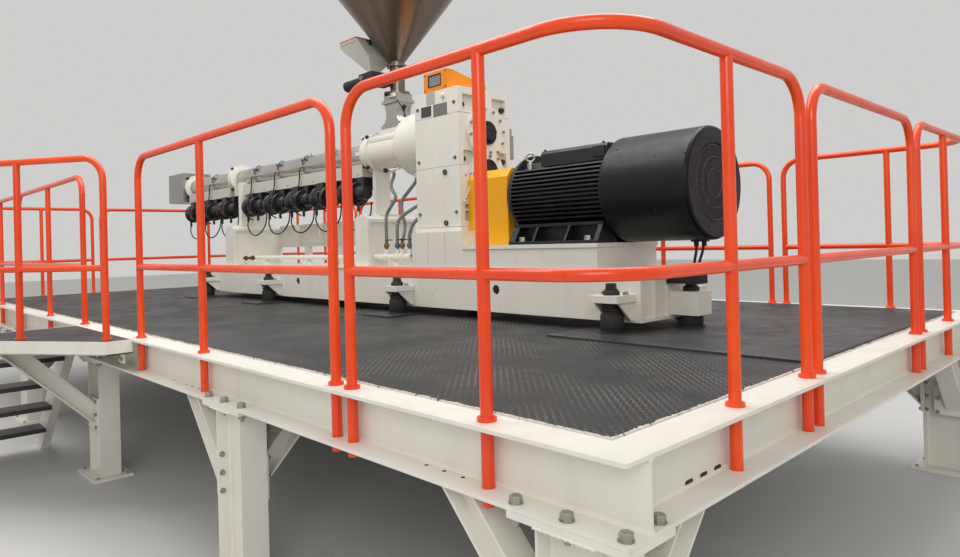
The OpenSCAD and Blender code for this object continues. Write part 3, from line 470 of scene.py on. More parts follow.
def chequer_finish(name, smeared):
    """Chequer plate: lens-shaped studs in a square lattice, turned to and fro, painted dark and rubbed
    bright on top. Smeared is the node over whose rim the white of the frame is brushed raggedly."""
    f = Finish(name)
    x, y, _ = f.axes()
    pitch = 0.0235
    u = f.math("DIVIDE", f.math("ADD", x, y), pitch * math.sqrt(2))
    v = f.math("DIVIDE", f.math("SUBTRACT", x, y), pitch * math.sqrt(2))
    parity = f.math("MODULO", f.math("ADD", f.math("FLOOR", u), f.math("FLOOR", v)), 2.0)
    parity = f.math("ABSOLUTE", parity)
    cu = f.math("SUBTRACT", f.math("FRACT", u), 0.5)
    cv = f.math("SUBTRACT", f.math("FRACT", v), 0.5)
    along = f.add("ShaderNodeMix", i0=parity, i2=cu, i3=cv).outputs[0]
    across = f.add("ShaderNodeMix", i0=parity, i2=cv, i3=cu).outputs[0]
    lens = f.math("SUBTRACT", 0.19, f.math("MULTIPLY", f.math("MULTIPLY", along, along), 0.78))
    stud = f.between(f.math("SUBTRACT", lens, f.math("ABSOLUTE", across)), -0.02, 0.07)
    wear = f.between(f.noise(2.2, 5.0), 0.42, 0.62)
    top = f.mix(f.math("MULTIPLY", stud, wear), srgb(33, 34, 35), srgb(112, 110, 106))
    dust = f.between(f.noise(9.0, 6.0, 0.7), 0.45, 0.75, 0.0, 0.35)
    top = f.mix(dust, top, srgb(58, 57, 55))
    smear = 0.0
    if smeared:
        low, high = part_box(smeared)
        mid = (low + high) / 2
        rim_x = f.math("SUBTRACT", (high.x - low.x) / 2, f.math("ABSOLUTE", f.math("SUBTRACT", x, mid.x)))
        rim_y = f.math("SUBTRACT", (high.y - low.y) / 2, f.math("ABSOLUTE", f.math("SUBTRACT", y, mid.y)))
        rim = f.math("MINIMUM", rim_x, rim_y)
        slow = f.between(f.noise(11.0, 5.0, 0.75), 0.3, 0.7, -0.006, 0.006)
        quick = f.between(f.noise(75.0, 4.0, 0.7), 0.3, 0.7, -0.006, 0.006)
        ragged = f.math("ADD", rim, f.math("ADD", slow, quick))
        smear = f.between(ragged, 0.006, 0.003)
    specks = f.between(f.noise(130.0, 2.0), 0.79, 0.82)
    f.set("Base Color", f.mix(f.math("MAXIMUM", specks, smear), top, srgb(216, 213, 203)))
    f.set("Roughness", f.between(f.noise(5.0, 5.0), 0.3, 0.7, 0.42, 0.62))
    f.set("Normal", f.bump(stud, 0.0016, f.bump(f.noise(160.0, 3.0), 0.0005)))
    return f.material


def floor_plate_finish():
    """Smooth steel plate, dark grey, scuffed and dusty."""
    f = Finish("smooth_plate")
    scuff = f.between(f.noise(3.0, 7.0, 0.65, f.scaled(1.0, 2.2, 1.0)), 0.35, 0.7)
    f.set("Base Color", f.mix(scuff, srgb(42, 43, 45), srgb(66, 66, 66)))
    f.set("Roughness", f.between(f.noise(8.0, 6.0), 0.3, 0.7, 0.38, 0.6))
    f.set("Normal", f.bump(f.noise(90.0, 4.0), 0.0003, f.edges(0.0015)[1]))
    return f.material


def rail_finish():
    """Gloss orange enamel on tube, a little deeper in tone where it pooled, with fine scratches."""
    f = Finish("rail_enamel", roughness=0.3, coat_weight=0.25, coat_roughness=0.1)
    deep = f.between(f.noise(2.6, 4.0), 0.35, 0.65)
    colour = f.mix(deep, srgb(234, 62, 0), srgb(246, 78, 0))
    scratch = f.between(f.noise(120.0, 3.0, 0.5, f.scaled(1.0, 1.0, 0.12)), 0.73, 0.76, 0.0, 0.6)
    f.set("Base Color", f.mix(scratch, colour, srgb(170, 60, 34)))
    f.set("Roughness", f.between(f.noise(18.0, 4.0), 0.3, 0.7, 0.24, 0.4))
    f.set("Normal", f.bump(f.noise(30.0, 3.0), 0.0004, f.bump(f.noise(190.0, 2.0), 0.00012)))
    return f.material


def iron_finish(name, colour, grain, rough=0.48):
    """Painted iron casting: a pebbled skin, patches of dust and an uneven sheen."""
    f = Finish(name)
    dust = f.between(f.noise(7.0, 6.0, 0.65), 0.5, 0.8, 0.0, 0.3)
    f.set("Base Color", f.mix(dust, colour, srgb(74, 73, 71)))
    f.set("Roughness", f.between(f.noise(20.0, 5.0), 0.3, 0.7, rough - 0.08, rough + 0.12))
    f.set("Normal", f.bump(f.noise(120.0, 4.0, 0.6), grain, f.edges(0.003)[1]))
    return f.material


def cowl_finish():
    """Satin paint on the rolled fan cowl, blue-grey round its side and black over its cast end."""
    f = Finish("cowl_paint", specular_ior_level=0.3)
    x = f.axes()[0]
    end = f.between(x, NEAR - 0.853, NEAR - 0.848)
    dust = f.between(f.noise(5.0, 6.0, 0.65), 0.45, 0.8, 0.0, 0.14)
    side = f.mix(dust, srgb(16, 20, 23), srgb(52, 52, 50))
    f.set("Base Color", f.mix(end, side, srgb(8, 8, 9)))
    f.set("Roughness", f.between(f.noise(16.0, 5.0), 0.3, 0.7, 0.3, 0.46))
    f.set("Normal", f.bump(f.noise(150.0, 3.0), 0.00014, f.edges(0.003)[1]))
    return f.material


def metal_finish(name, colour, rough, stretch, streak=0.08, grain=0.00006):
    """Bare metal: fine lines of brushing along the stretched axis, cloudy handling marks."""
    f = Finish(name, metallic=1.0)
    lines = f.noise(240.0, 3.0, 0.6, f.scaled(*stretch))
    cloud = f.between(f.noise(3.0, 5.0), 0.3, 0.7)
    dark = tuple(c * 0.82 for c in colour[:3]) + (1.0,)
    f.set("Base Color", f.mix(cloud, dark, colour))
    f.set("Roughness", f.math("ADD", f.between(lines, 0.3, 0.7, rough - streak, rough + streak),
                              f.math("MULTIPLY", cloud, 0.05)))
    f.set("Normal", f.bump(lines, grain, f.edges(0.0015)[1]))
    return f.material


def rubber_finish(name, colour):
    """Matt black rubber or plastic with a dusty bloom."""
    f = Finish(name)
    bloom = f.between(f.noise(11.0, 6.0, 0.7), 0.45, 0.8, 0.0, 0.4)
    f.set("Base Color", f.mix(bloom, colour, srgb(66, 65, 63)))
    f.set("Roughness", f.between(f.noise(25.0, 4.0), 0.3, 0.7, 0.55, 0.75))
    f.set("Normal", f.bump(f.noise(260.0, 3.0), 0.00025))
    return f.material


worn_steel = srgb(96, 92, 86)
cream = painted("cream_paint", srgb(232, 229, 219), worn_steel)
machine_cream = painted("machine_enamel", srgb(229, 226, 215), srgb(150, 146, 136), rough=0.3, dirt=0.06,
                        chips=0.2)
enamel_orange = rail_finish()
deck_finish = chequer_finish("chequer_plate", "deck_plate")
landing_finish = chequer_finish("landing_plate", "")
plate_finish = floor_plate_finish()
tread_finish = painted("tread_paint", srgb(52, 53, 54), srgb(120, 118, 112), rough=0.5, chips=0.8)
motor_iron = iron_finish("motor_iron", srgb(15, 15, 16), 0.0007)
cowl_paint = cowl_finish()
box_paint = iron_finish("box_paint", srgb(20, 22, 24), 0.0002, rough=0.4)
guard_paint = painted("guard_enamel", srgb(238, 166, 0), srgb(150, 110, 20), rough=0.3, dirt=0.05, chips=0.3)
amber_paint = painted("control_enamel", srgb(236, 138, 4), srgb(160, 110, 40), rough=0.34, dirt=0.04,
                      chips=0.1)
grey_paint = painted("trunk_enamel", srgb(150, 148, 140), srgb(110, 108, 100), rough=0.4)
hopper_steel = metal_finish("hopper_sheet", srgb(132, 122, 110), 0.3, (1.0, 1.0, 0.04))
cover_steel = metal_finish("cover_sheet", srgb(206, 203, 197), 0.24, (0.03, 1.0, 1.0), 0.04, 0.00002)
throat_steel = metal_finish("throat_sheet", srgb(196, 193, 186), 0.26, (1.0, 1.0, 0.05), 0.05)
turned_steel = metal_finish("turned_steel", srgb(170, 168, 163), 0.28, (0.05, 1.0, 1.0))
zinc = metal_finish("zinc_plating", srgb(178, 176, 170), 0.4, (1.0, 1.0, 1.0), 0.1, 0.0002)
rubber = rubber_finish("mount_rubber", srgb(32, 32, 31))
black_plastic = rubber_finish("black_plastic", srgb(22, 22, 23))
hose_grey = rubber_finish("hose_sleeve", srgb(128, 128, 124))
bolt_black = iron_finish("blackened_bolt", srgb(24, 24, 25), 0.0002, rough=0.4)
brass = metal_finish("brass_fitting", srgb(150, 118, 74), 0.38, (1.0, 1.0, 1.0), 0.1, 0.0002)
plate_grey = painted("plate_lacquer", srgb(118, 116, 112), srgb(160, 158, 152), rough=0.3, dirt=0.03,
                     chips=0.1)
plate_dark = painted("dark_lacquer", srgb(62, 62, 60), srgb(150, 148, 142), rough=0.3, dirt=0.03, chips=0.1)
rust = iron_finish("rusty_rod", srgb(84, 52, 40), 0.0012, rough=0.7)
valve_blue = painted("valve_paint", srgb(88, 104, 112), srgb(150, 148, 140), rough=0.4, dirt=0.1)
plate_light = painted("light_lacquer", srgb(176, 174, 166), srgb(60, 60, 58), rough=0.3, dirt=0.02,
                      chips=0.05)
screen_grey = painted("screen_grey", srgb(128, 132, 134), srgb(90, 92, 94), rough=0.25, dirt=0.02, chips=0.0)
grille_paint = painted("grille_paint", srgb(96, 92, 98), srgb(50, 50, 52), rough=0.45, dirt=0.1)
trunk_paint = painted("trunk_lacquer", srgb(200, 198, 188), srgb(120, 118, 110), rough=0.36, dirt=0.06,
                      chips=0.15)
blower_black = iron_finish("blower_black", srgb(17, 17, 18), 0.0002, rough=0.3)
doser_paint = painted("doser_paint", srgb(172, 170, 160), srgb(120, 118, 110), rough=0.38, dirt=0.04)

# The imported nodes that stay, by finish
NODE_FINISH = {
    cream: ("front_beam", "rear_beam", "cross_beams", "front_columns", "rear_columns", "stair_stringers"),
    machine_cream: ("base_frame", "mount_brackets", "motor_plinth", "gearbox_pedestal", "feed_support",
                    "barrel_support", "gearbox_housing", "feed_housing", "water_manifold", "rear_panel",
                    "barrel_clamps"),
    enamel_orange: ("front_rails", "near_corner_rails", "side_rails", "far_corner_rails", "rear_rails",
                    "landing_rails"),
    deck_finish: ("deck_plate",),
    landing_finish: ("landing_deck",),
    plate_finish: ("floor_plates",),
    tread_finish: ("stair_treads",),
    motor_iron: ("motor_body",),
    cowl_paint: ("motor_cowl",),
    box_paint: ("terminal_box",),
    guard_paint: ("coupling_guard",),
    amber_paint: ("control_box",),
    grey_paint: ("oil_pump",),
    trunk_paint: ("wiring_trunk",),
    black_plastic: ("bearing_covers", "doser_drive", "cable_box"),
    hopper_steel: ("hopper",),
    throat_steel: ("feed_throat",),
    turned_steel: ("barrel", "screen_changer"),
}


def finish_nodes():
    """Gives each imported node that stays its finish."""
    for finish, names in NODE_FINISH.items():
        for name in names:
            mesh = nodes[name].data
            mesh.materials.clear()
            mesh.materials.append(finish)


# Fasteners

def hex_bolt(size):
    """Hexagon head with a chamfered top on a washer, for a bolt of the size."""
    across = size * 0.92
    return joined([turned([(size * 1.05, 0), (size * 1.05, size * 0.15)], 16),
                   turned([(across, size * 0.15), (across, size * 1.0), (across * 0.86, size * 1.12)], 6)])


def stud_nut(size):
    """Hexagon nut on a washer, with the end of its bolt standing through it."""
    across = size * 0.92
    return joined([turned([(size * 1.12, 0), (size * 1.12, size * 0.16)], 16),
                   turned([(across, size * 0.16), (across, size * 0.92), (across * 0.86, size)], 6),
                   turned([(size / 2, size), (size / 2, size * 1.5), (size * 0.38, size * 1.62)], 10)])


def socket_screw(size):
    """Round head with a chamfered rim and a socket sunk into it."""
    r = size * 0.78
    return turned([(r, 0), (r, size * 0.8), (r * 0.88, size), (size * 0.46, size),
                   (size * 0.4, size * 0.45), (size * 0.05, size * 0.42)], 12)


def mushroom(size):
    """Low round screw head: a quarter-circle cap on a short rim."""
    a = np.linspace(0, math.pi / 2 - 0.05, 5)
    cap = np.stack([size * np.cos(a), size * 0.12 + size * 0.45 * np.sin(a)], axis=-1)
    return turned(np.vstack([[(size, 0)], cap]), 14)


def ring_of(count, radius, start=0.0):
    """Points on a circle about z: cosine and sine of evenly spaced angles."""
    a = start + np.arange(count) * 2 * math.pi / count
    return np.stack([radius * np.cos(a), radius * np.sin(a), 0 * a], axis=-1)


def along_x(flat, x, y, z):
    """Points of a circle about z turned to stand square to x round the point: their first number goes
    to y, their second to z."""
    return np.stack([x + flat[:, 2], y + flat[:, 0], z + flat[:, 1]], axis=-1)


# Directions that fasteners face
OUT = (0, -1, 0)
BACK = (0, 1, 0)
NEARWARD = (1, 0, 0)
FARWARD = (-1, 0, 0)
UP = (0, 0, 1)
DOWN = (0, 0, -1)


def platform_bolts():
    """Bolts and nuts through the beams' bottom flanges into the columns' top plates, and anchors in the
    base plates."""
    flange_x = (-0.182, -0.01, 0.163)
    flange_y = (-0.07, 0.07)
    anchor_x = (-0.16, 0.16)
    anchor_y = (-0.09, 0.09)
    spots = [(x + dx, y + dy) for x in COLUMNS for y in ROWS for dx in flange_x for dy in flange_y]
    feet = [(x + dx, y + dy) for x in COLUMNS for y in ROWS for dx in anchor_x for dy in anchor_y]
    shapes = [put(hex_bolt(0.0195), [(x, y, FLANGE - BEAM) for x, y in spots], UP, 0.3),
              put(stud_nut(0.018), [(x, y, -BEAM - TOP_PLATE) for x, y in spots], DOWN, 0.1),
              put(hex_bolt(0.011), [(x, y, BASE_PLATE - DECK) for x, y in feet], UP, 0.5)]
    piece("platform_bolts", shapes, zinc)


def weld_beads():
    """Small lumpy fillet welds along the columns' top and base plates: the bead's radius is a mean plus
    two sine waves of the way along it."""
    half_run = 0.098
    offset = 0.1
    way = np.linspace(0, 1, 33)
    radius = 0.004 + 0.0009 * np.sin(way * 61) + 0.0005 * np.sin(way * 143 + 1)
    beads = []
    for x in COLUMNS:
        for y in (row + side * offset for row in ROWS for side in (-1, 1)):
            for z in (-BEAM - TOP_PLATE - 0.001, BASE_PLATE + 0.001 - DECK):
                path = np.linspace((x - half_run, y, z), (x + half_run, y, z), len(way))
                beads.append(tube(places(path), radius, 6))
    piece("weld_beads", beads, cream)


def rail_collars():
    """Rolled ring of weld where each rail post meets its collar: a hoop a little wider than the tube."""
    height = 0.0115
    posts = [(-x, POST_INSET, height) for x in FRONT_POSTS]
    posts += [(-x, WIDTH - POST_INSET, height) for x in REAR_POSTS]
    posts += [(x, y, height) for x in (-POST_INSET, POST_INSET - LENGTH) for y in SIDE_POSTS]
    piece("collar_welds", [put(hoop(0.0205, 0.0035, 20, 6), posts)], enamel_orange)


def gearbox_fittings():
    """Housing screws at the grooves, each on a thin black disc of painted counterbore shade, oil level
    glasses with their dark rims, the filler plug, bare plates, the bearing caps' screws, the black bolts
    in the pockets and the grease line."""
    grooves = [(x, z) for x in (-2.577, -2.965) for z in (1.468, 1.091, 0.717)]
    # Thin black disc round each groove screw: painted shade of the counterbore that the screw sits in
    counterbore_shade = turned([(0.0135, 0), (0.0135, 0.0006)], 20)
    screws = [put(counterbore_shade, [(x, GEARBOX_FRONT - 0.0002, z) for x, z in grooves], OUT),
              put(counterbore_shade, [(x, GEARBOX_REAR + 0.0002, z) for x, z in grooves], BACK)]
    pockets = [(-2.567, y, z) for y in (1.895, 2.285) for z in (1.455, 1.082)]
    screws.append(put(hex_bolt(0.02), pockets, NEARWARD, 0.2))
    caps = [along_x(ring_of(8, radius, 0.2), -2.5, AXIS, z) for radius, z in ((0.066, SCREW), (0.07, 1.0))]
    screws.append(put(socket_screw(0.011), np.vstack(caps), NEARWARD))
    piece("gearbox_screws", screws, bolt_black)
    heads = [put(socket_screw(0.011), [(x - 0.002, GEARBOX_FRONT - 0.0006, z) for x, z in grooves], OUT),
             put(socket_screw(0.011), [(x - 0.002, GEARBOX_REAR + 0.0006, z) for x, z in grooves], BACK)]
    flange = [along_x(ring_of(12, 0.162, 0.13), -2.514, AXIS, SCREW),
              along_x(ring_of(10, 0.137, 0.13), -2.514, AXIS, 1.0)]
    heads.append(put(socket_screw(0.013), np.vstack(flange), NEARWARD))
    heads.append(put(mushroom(0.008), [(-2.534, 1.895, 0.969), (-2.534, 1.894, 0.809)], NEARWARD))
    piece("gearbox_flange_screws", heads, zinc)
    rim = turned([(0.019, 0), (0.019, 0.009), (0.016, 0.012), (0.0135, 0.012), (0.0125, 0.005)], 24)
    glass = turned([(0.0128, 0.002), (0.0128, 0.0055), (0.0115, 0.0068)], 20)
    sights = [(-2.682, GEARBOX_FRONT, z) for z in (0.998, 0.647)]
    piece("oil_level_rims", [put(rim, sights, OUT)], bolt_black)
    piece("filler_plug", [put(hex_bolt(0.016), [(-2.687, GEARBOX_FRONT, 1.528)], OUT)], machine_cream)
    piece("oil_level_glasses", [put(glass, sights, OUT)], screen_grey)
    bare_plates()
    grease = [(-2.512, 1.962, 1.094), (-2.51, 1.94, 1.005), (-2.51, 1.919, 0.917),
              (-2.514, 1.893, 0.846), (-2.524, 1.876, 0.807), (-2.532, 1.87, 0.79)]
    nipple = turned([(0.007, 0), (0.007, 0.012), (0.004, 0.016)], 10)
    piece("grease_line", [run(grease, 0.004), put(nipple, [grease[0], grease[-1]], NEARWARD)], cream)


def bare_plates():
    """Three bare plates on the gearbox's front, each with a rivet near every corner."""
    margin = 0.008
    thick = 0.002
    plates = ((plate_light, -2.866, -2.775, 1.489, 1.575), (plate_dark, -2.927, -2.815, 1.406, 1.480),
              (plate_grey, -2.793, -2.647, 1.396, 1.480))
    for number, (finish, x0, x1, z0, z1) in enumerate(plates, 1):
        rivets = [(x, GEARBOX_FRONT - thick, z)
                  for x in (x0 + margin, x1 - margin) for z in (z0 + margin, z1 - margin)]
        sheet = box((x0, GEARBOX_FRONT - thick, z0), (x1, GEARBOX_FRONT + 0.001, z1), 0.0008)
        piece("bare_plate_%d" % number, [sheet, put(mushroom(0.0035), rivets, OUT)], finish)


def screen_fittings():
    """Control box: the screen's glass in its recess, a dark frame round it, and cover screws."""
    x0, x1, z0, z1 = -2.842, -2.704, 1.606, 1.692
    bar = 0.007
    low = GEARBOX_FRONT - 0.003
    high = GEARBOX_FRONT + 0.0075
    frame_bars = [box((x0, low, z0), (x1, high, z0 + bar)),
                  box((x0, low, z1 - bar), (x1, high, z1)),
                  box((x0, low, z0 + 0.005), (x0 + bar, high, z1 - 0.005)),
                  box((x1 - bar, low, z0 + 0.005), (x1, high, z1 - 0.005))]
    piece("screen_frame", frame_bars, black_plastic)
    pane = box((x0 + 0.006, GEARBOX_FRONT + 0.003, z0 + 0.006), (x1 - 0.006, high + 0.0003, z1 - 0.006))
    piece("screen_glass", [pane], screen_grey)
    corners = [(x, GEARBOX_FRONT - 0.0005, z) for x in (-2.878, -2.657) for z in (1.59, 1.7)]
    piece("screen_screws", [put(mushroom(0.006), corners, OUT)], bolt_black)


def motor_fittings():
    """Eyebolts on their bosses, silver bolts in the feet, cowl screws and terminal box cover screws."""
    boss = turned([(0.022, -0.05), (0.022, 0.0), (0.013, 0.006), (0.012, 0.014)], 16)
    eye = repeat(hoop(0.026, 0.0065, 28, 10), frames_at([(0, 0, 0.04)], BACK))
    lifting = [(-1.98, y, 0.99) for y in (1.935, 2.245)]
    piece("lifting_eyes", [put(joined([boss, eye]), lifting, UP, -0.77)], zinc)
    feet = [(x, y, 0.504) for x in (-1.965, -1.469) for y in (1.83, 2.35)]
    piece("motor_foot_bolts", [put(hex_bolt(0.024), feet, UP, 0.2)], zinc)
    rounds = [(-1.29, 0.008, a) for a in np.radians([45, 136, 225, 315])]
    rounds += [(x, 0.006, a) for x in (-1.028, -0.857) for a in np.radians([27.7, 152.3, 207.7, 332.3])]
    screws = []
    for x, size, angle in rounds:
        spot = along_x(ring_of(1, COWL_R, angle), x, AXIS, MOTOR)
        screws.append(put(mushroom(size), spot, (0, math.cos(angle), math.sin(angle))))
    lids = [(x, y, 1.05) for x in (-1.83, -1.4) for y in (1.905, 2.275)]
    screws.append(put(socket_screw(0.01), lids, UP))
    piece("motor_screws", screws, bolt_black)


def fan_grille():
    """Fine wires of the fan grille: upright bars as long as the chord of a circle at their place, and
    three rings in front of them."""
    reach = 0.2
    front = -0.8353
    wires = []
    for y in np.arange(-0.192, 0.1921, 0.012):
        half = math.sqrt(reach ** 2 - y * y)
        wires.append(box((front - 0.0022, AXIS + y - 0.0011, MOTOR - half),
                         (front, AXIS + y + 0.0011, MOTOR + half), 0.0006))
    for radius in (0.075, 0.135, 0.198):
        wires.append(put(hoop(radius, 0.0016, 64, 6), [(front + 0.0001, AXIS, MOTOR)], NEARWARD))
    piece("fan_grille_wires", wires, grille_paint)


def mount_fittings():
    """Lock bolt on each side of each levelling bracket's lug, and the nut with its lock nut on each
    stud."""
    lug = 0.2395
    nuts = turned([(0.030, 0), (0.030, 0.018), (0.027, 0.021), (0.027, 0.0225), (0.030, 0.0245),
                   (0.030, 0.031), (0.026, 0.034)], 6)
    studs = [(x, y, lug) for y in (MOUNT_FRONT, MOUNT_REAR) for x in MOUNTS_X]
    piece("levelling_nuts", [put(nuts, studs + [(*END_MOUNT, lug)], UP, 0.3)], bolt_black)
    locks = [(x + dx, y, 0.212) for y in (MOUNT_FRONT + 0.03, MOUNT_REAR - 0.03) for x in MOUNTS_X
             for dx in (-0.07, 0.07)]
    piece("bracket_lock_bolts", [put(hex_bolt(0.016), locks, UP, 0.4)], zinc)


def feed_fittings():
    """Radial bolts of the feed ring and the clamps, the white lug, gate knob and rods of the throat, and
    the knob under the neck."""
    axis = np.array([0, AXIS, SCREW])
    blacks = []
    for x, radius in ((-3.785, 0.167), (-3.85, 0.149), (-6.35, 0.149), (-7.581, 0.149)):
        for angle in np.radians([45, 135, 225, 315]):
            way = np.array([0, math.cos(angle), math.sin(angle)])
            blacks.append(put(socket_screw(0.02), [axis + way * radius + [x, 0, 0]], way))
    blacks.append(put(mushroom(0.007), [(-3.077, 1.86, 1.262)], OUT))
    throat_x = -3.52
    throat = [(throat_x + dx, AXIS + dy, 1.466) for dx in (-0.105, 0.105) for dy in (-0.062, 0.062)]
    top = [(throat_x + dx, AXIS + dy, 1.654) for dx in (-0.094, 0.094) for dy in (-0.08, 0.08)]
    blacks.append(put(hex_bolt(0.012), throat, UP, 0.3))
    piece("barrel_bolts", blacks, bolt_black)
    piece("throat_bolts", [put(hex_bolt(0.009), top, UP, 0.3)], zinc)
    knob = turned([(0.006, 0), (0.006, 0.018), (0.017, 0.026), (0.02, 0.036), (0.017, 0.046),
                   (0.008, 0.05)], 16)
    piece("gate_knobs", [put(knob, [(-3.49, 1.99, 1.695), (-3.48, 1.955, 1.09)], OUT),
                         put(knob, [(-3.328, 2.0, 1.541)], UP)], black_plastic)
    piece("gate_clamp", [box((-3.535, 1.99, 1.672), (-3.445, 2.017, 1.706), 0.004)], cream)
    piece("gate_rods", [run([(-3.418, 2.0, 1.644), (-3.36, 2.0, 1.58), (-3.306, 2.0, 1.488)], 0.0055),
                        run([(-3.328, 2.0, 1.492), (-3.328, 2.0, 1.545)], 0.0045)],
          bolt_black)
    piece("neck_rod", [run([(-3.48, 1.962, 1.09), (-3.42, 1.962, 1.094), (-3.36, 1.965, 1.098)], 0.008),
                       box((-3.5, 1.955, 1.075), (-3.46, 2.0, 1.105), 0.003),
                       box((-3.925, 1.94, 1.246), (-3.876, 1.965, 1.282), 0.004)],
          cream)


def barrel_fittings():
    """Band heaters' joints: paired straps round the steel covers with their bolts, the plugs and the
    leads that hang from them into the trunk, and the trunk's screws."""
    half = [(0.0965, 0.005), (0.0985, 0.006), (0.0992, 0.012), (0.0985, 0.018), (0.0965, 0.018)]
    pair = turned([(r, -x) for r, x in reversed(half)] + half, 40)
    spots = [(x, AXIS, SCREW) for x in BANDS]
    piece("heater_straps", [put(pair, spots, NEARWARD)], turned_steel)
    plug = turned([(0.011, -0.004), (0.011, 0.006), (0.0075, 0.008), (0.0075, 0.022), (0.0045, 0.026)], 12)
    plugs = [(x, AXIS - 0.095, SCREW - 0.016) for x in BANDS]
    piece("heater_plugs", [put(plug, plugs, OUT), put(plug, [(-4.796, AXIS - 0.05, SCREW + 0.082)], UP)],
          zinc)
    bolts = [(x + dx, AXIS - 0.0855, SCREW + 0.052) for x in BANDS for dx in (-0.03, 0.03)]
    piece("strap_bolts", [put(hex_bolt(0.009), bolts, (0, -0.86, 0.51), 0.2)], bolt_black)
    hanging = np.array([(0.004, -0.118, -0.016), (0.012, -0.14, -0.05), (0.005, -0.138, -0.13),
                        (0.002, -0.16, -0.24), (0.008, -0.212, -0.32), (0.004, -0.2, -0.42),
                        (-0.01, -0.12, -0.47)])
    crossing = np.array([(-0.05, 0.03, 0.093), (-0.03, -0.03, 0.1), (-0.012, -0.075, 0.07),
                         (-0.004, -0.1, 0.01)])
    leads = []
    for spot in spots:
        leads.append(run(hanging + spot, 0.0065, 6, 5))
        leads.append(run(crossing + spot, 0.0042, 6, 5))
    piece("heater_leads", leads, bolt_black)
    along = (-3.934, -4.182, -4.653, -4.869, -5.13, -5.336, -5.6, -5.85, -6.412, -6.9, -7.4)
    piece("trunk_screws", [put(mushroom(0.006), [(x, 1.97, 1.10) for x in along], OUT),
                           put(mushroom(0.006), [(x, 2.165, 1.10) for x in along], BACK)],
          bolt_black)


def water_fittings():
    """Valves on the water manifold: brass body with a hexagon, blue body, lever handles in black, and
    the rusty drain rod at the far end."""
    top = 0.47
    pipe = 0.421
    body = turned([(0.012, 0), (0.012, 0.012), (0.02, 0.016), (0.023, 0.03), (0.02, 0.044),
                   (0.012, 0.048), (0.012, 0.058), (0.008, 0.06), (0.008, 0.072)], 14)
    tops = [(x, VALVES_Y, top) for x in (-3.49, -3.35, -3.29, -3.2)]
    branch = run([(-3.2, VALVES_Y, pipe), (-3.049, VALVES_Y, pipe)], 0.012)
    nut = put(turned([(0.019, 0), (0.019, 0.022)], 6), [(-3.1, VALVES_Y, pipe)], NEARWARD)
    piece("brass_valves", [put(body, tops[0::2]), branch, nut], brass)
    piece("blue_valves", [put(body, tops[1::2])], valve_blue)
    levers = [box((x - 0.012, VALVES_Y - 0.011, 0.54), (x + 0.07, VALVES_Y + 0.011, 0.548), 0.003)
              for x, _, _ in tops]
    hubs = put(turned([(0.013, 0.066), (0.013, 0.08), (0.009, 0.084)], 12), tops)
    piece("valve_levers", levers + [hubs], black_plastic)
    rod = [(-5.69, VALVES_Y, 0.412), (-5.85, VALVES_Y, 0.41), (-5.99, VALVES_Y, 0.406)]
    rings = turned([(0.024, 0), (0.024, 0.03), (0.018, 0.034)], 6)
    piece("drain_rod", [run(rod, 0.014),
                        put(rings, [(-5.78, VALVES_Y, 0.411), (-5.93, VALVES_Y, 0.408)], FARWARD)],
          rust)


def support_fittings():
    """Bolts on the shoulders of the feed and barrel supports."""
    shoulders = [(x, y, 0.74) for x in (-3.797, -3.728, -6.12, -6.06) for y in (1.9, 2.28)]
    piece("support_bolts", [put(hex_bolt(0.014), shoulders, UP, 0.4)], cream)


def cable_entries():
    """Rubber rings where the two motor cables enter the cable box, and the glands that they leave."""
    ring = hoop(0.014, 0.006, 20, 8)
    gland = turned([(0.013, -0.004), (0.013, 0.02), (0.010, 0.026)], 12)
    piece("cable_entry_ring", [put(ring, [(x, AXIS, 0.329) for x in (-0.972, -0.945)]),
                               put(gland, [(x, AXIS, 0.46) for x in (-0.95, -0.905)])],
          black_plastic)


def band(x0, x1, y0, y1, z0, z1, thick):
    """Four bars round a rectangle, just outside it."""
    return [box((x0 - thick, y0 - thick, z0), (x1 + thick, y0 + 0.001, z1), 0.001),
            box((x0 - thick, y1 - 0.001, z0), (x1 + thick, y1 + thick, z1), 0.001),
            box((x0 - thick, y0, z0), (x0 + 0.001, y1, z1), 0.001),
            box((x1 - 0.001, y0, z0), (x1 + thick, y1, z1), 0.001)]


def doser():
    """Sheet doser hopper: rectangles at five heights joined by flat sides, drawn in to the outlet on the
    drive, with a band and a painted lip round the rim, a latch, and the round cap of the drive."""
    outlet = (-3.637, -3.598, 1.889, 1.97)
    rim = (-4.02, -3.79, 1.884, 2.149)
    levels = ((*outlet, 1.864), (*outlet, 1.885), (-3.818, -3.62, 1.887, 2.126, 2.01),
              (-4.02, -3.745, 1.884, 2.149, 2.15), (*rim, 2.2))
    grid = np.array([[(x0, y0, z), (x1, y0, z), (x1, y1, z), (x0, y1, z)] for x0, x1, y0, y1, z in levels])
    piece("doser_body", [skin(places(grid))] + band(*rim, 2.168, 2.198, 0.002), doser_paint,
          replaces=("doser_hopper",), crease=20)
    piece("doser_lip", band(*rim, 2.198, 2.206, 0.004), enamel_orange)
    piece("doser_latch", [box((-3.782, 1.975, 2.10), (-3.735, 2.0, 2.19), 0.004),
                          box((-3.8, 1.965, 2.15), (-3.76, 2.01, 2.168), 0.004)],
          bolt_black)
    cap = turned([(0.021, 0), (0.021, 0.005), (0.018, 0.008), (0.007, 0.0085), (0.006, 0.004)], 24)
    piece("doser_cap", [put(cap, [(-3.655, 1.8355, 1.832)], OUT)], plate_grey)
    piece("doser_fitting", [put(hex_bolt(0.014), [(-3.572, 1.87, 1.8645)], UP)], brass)


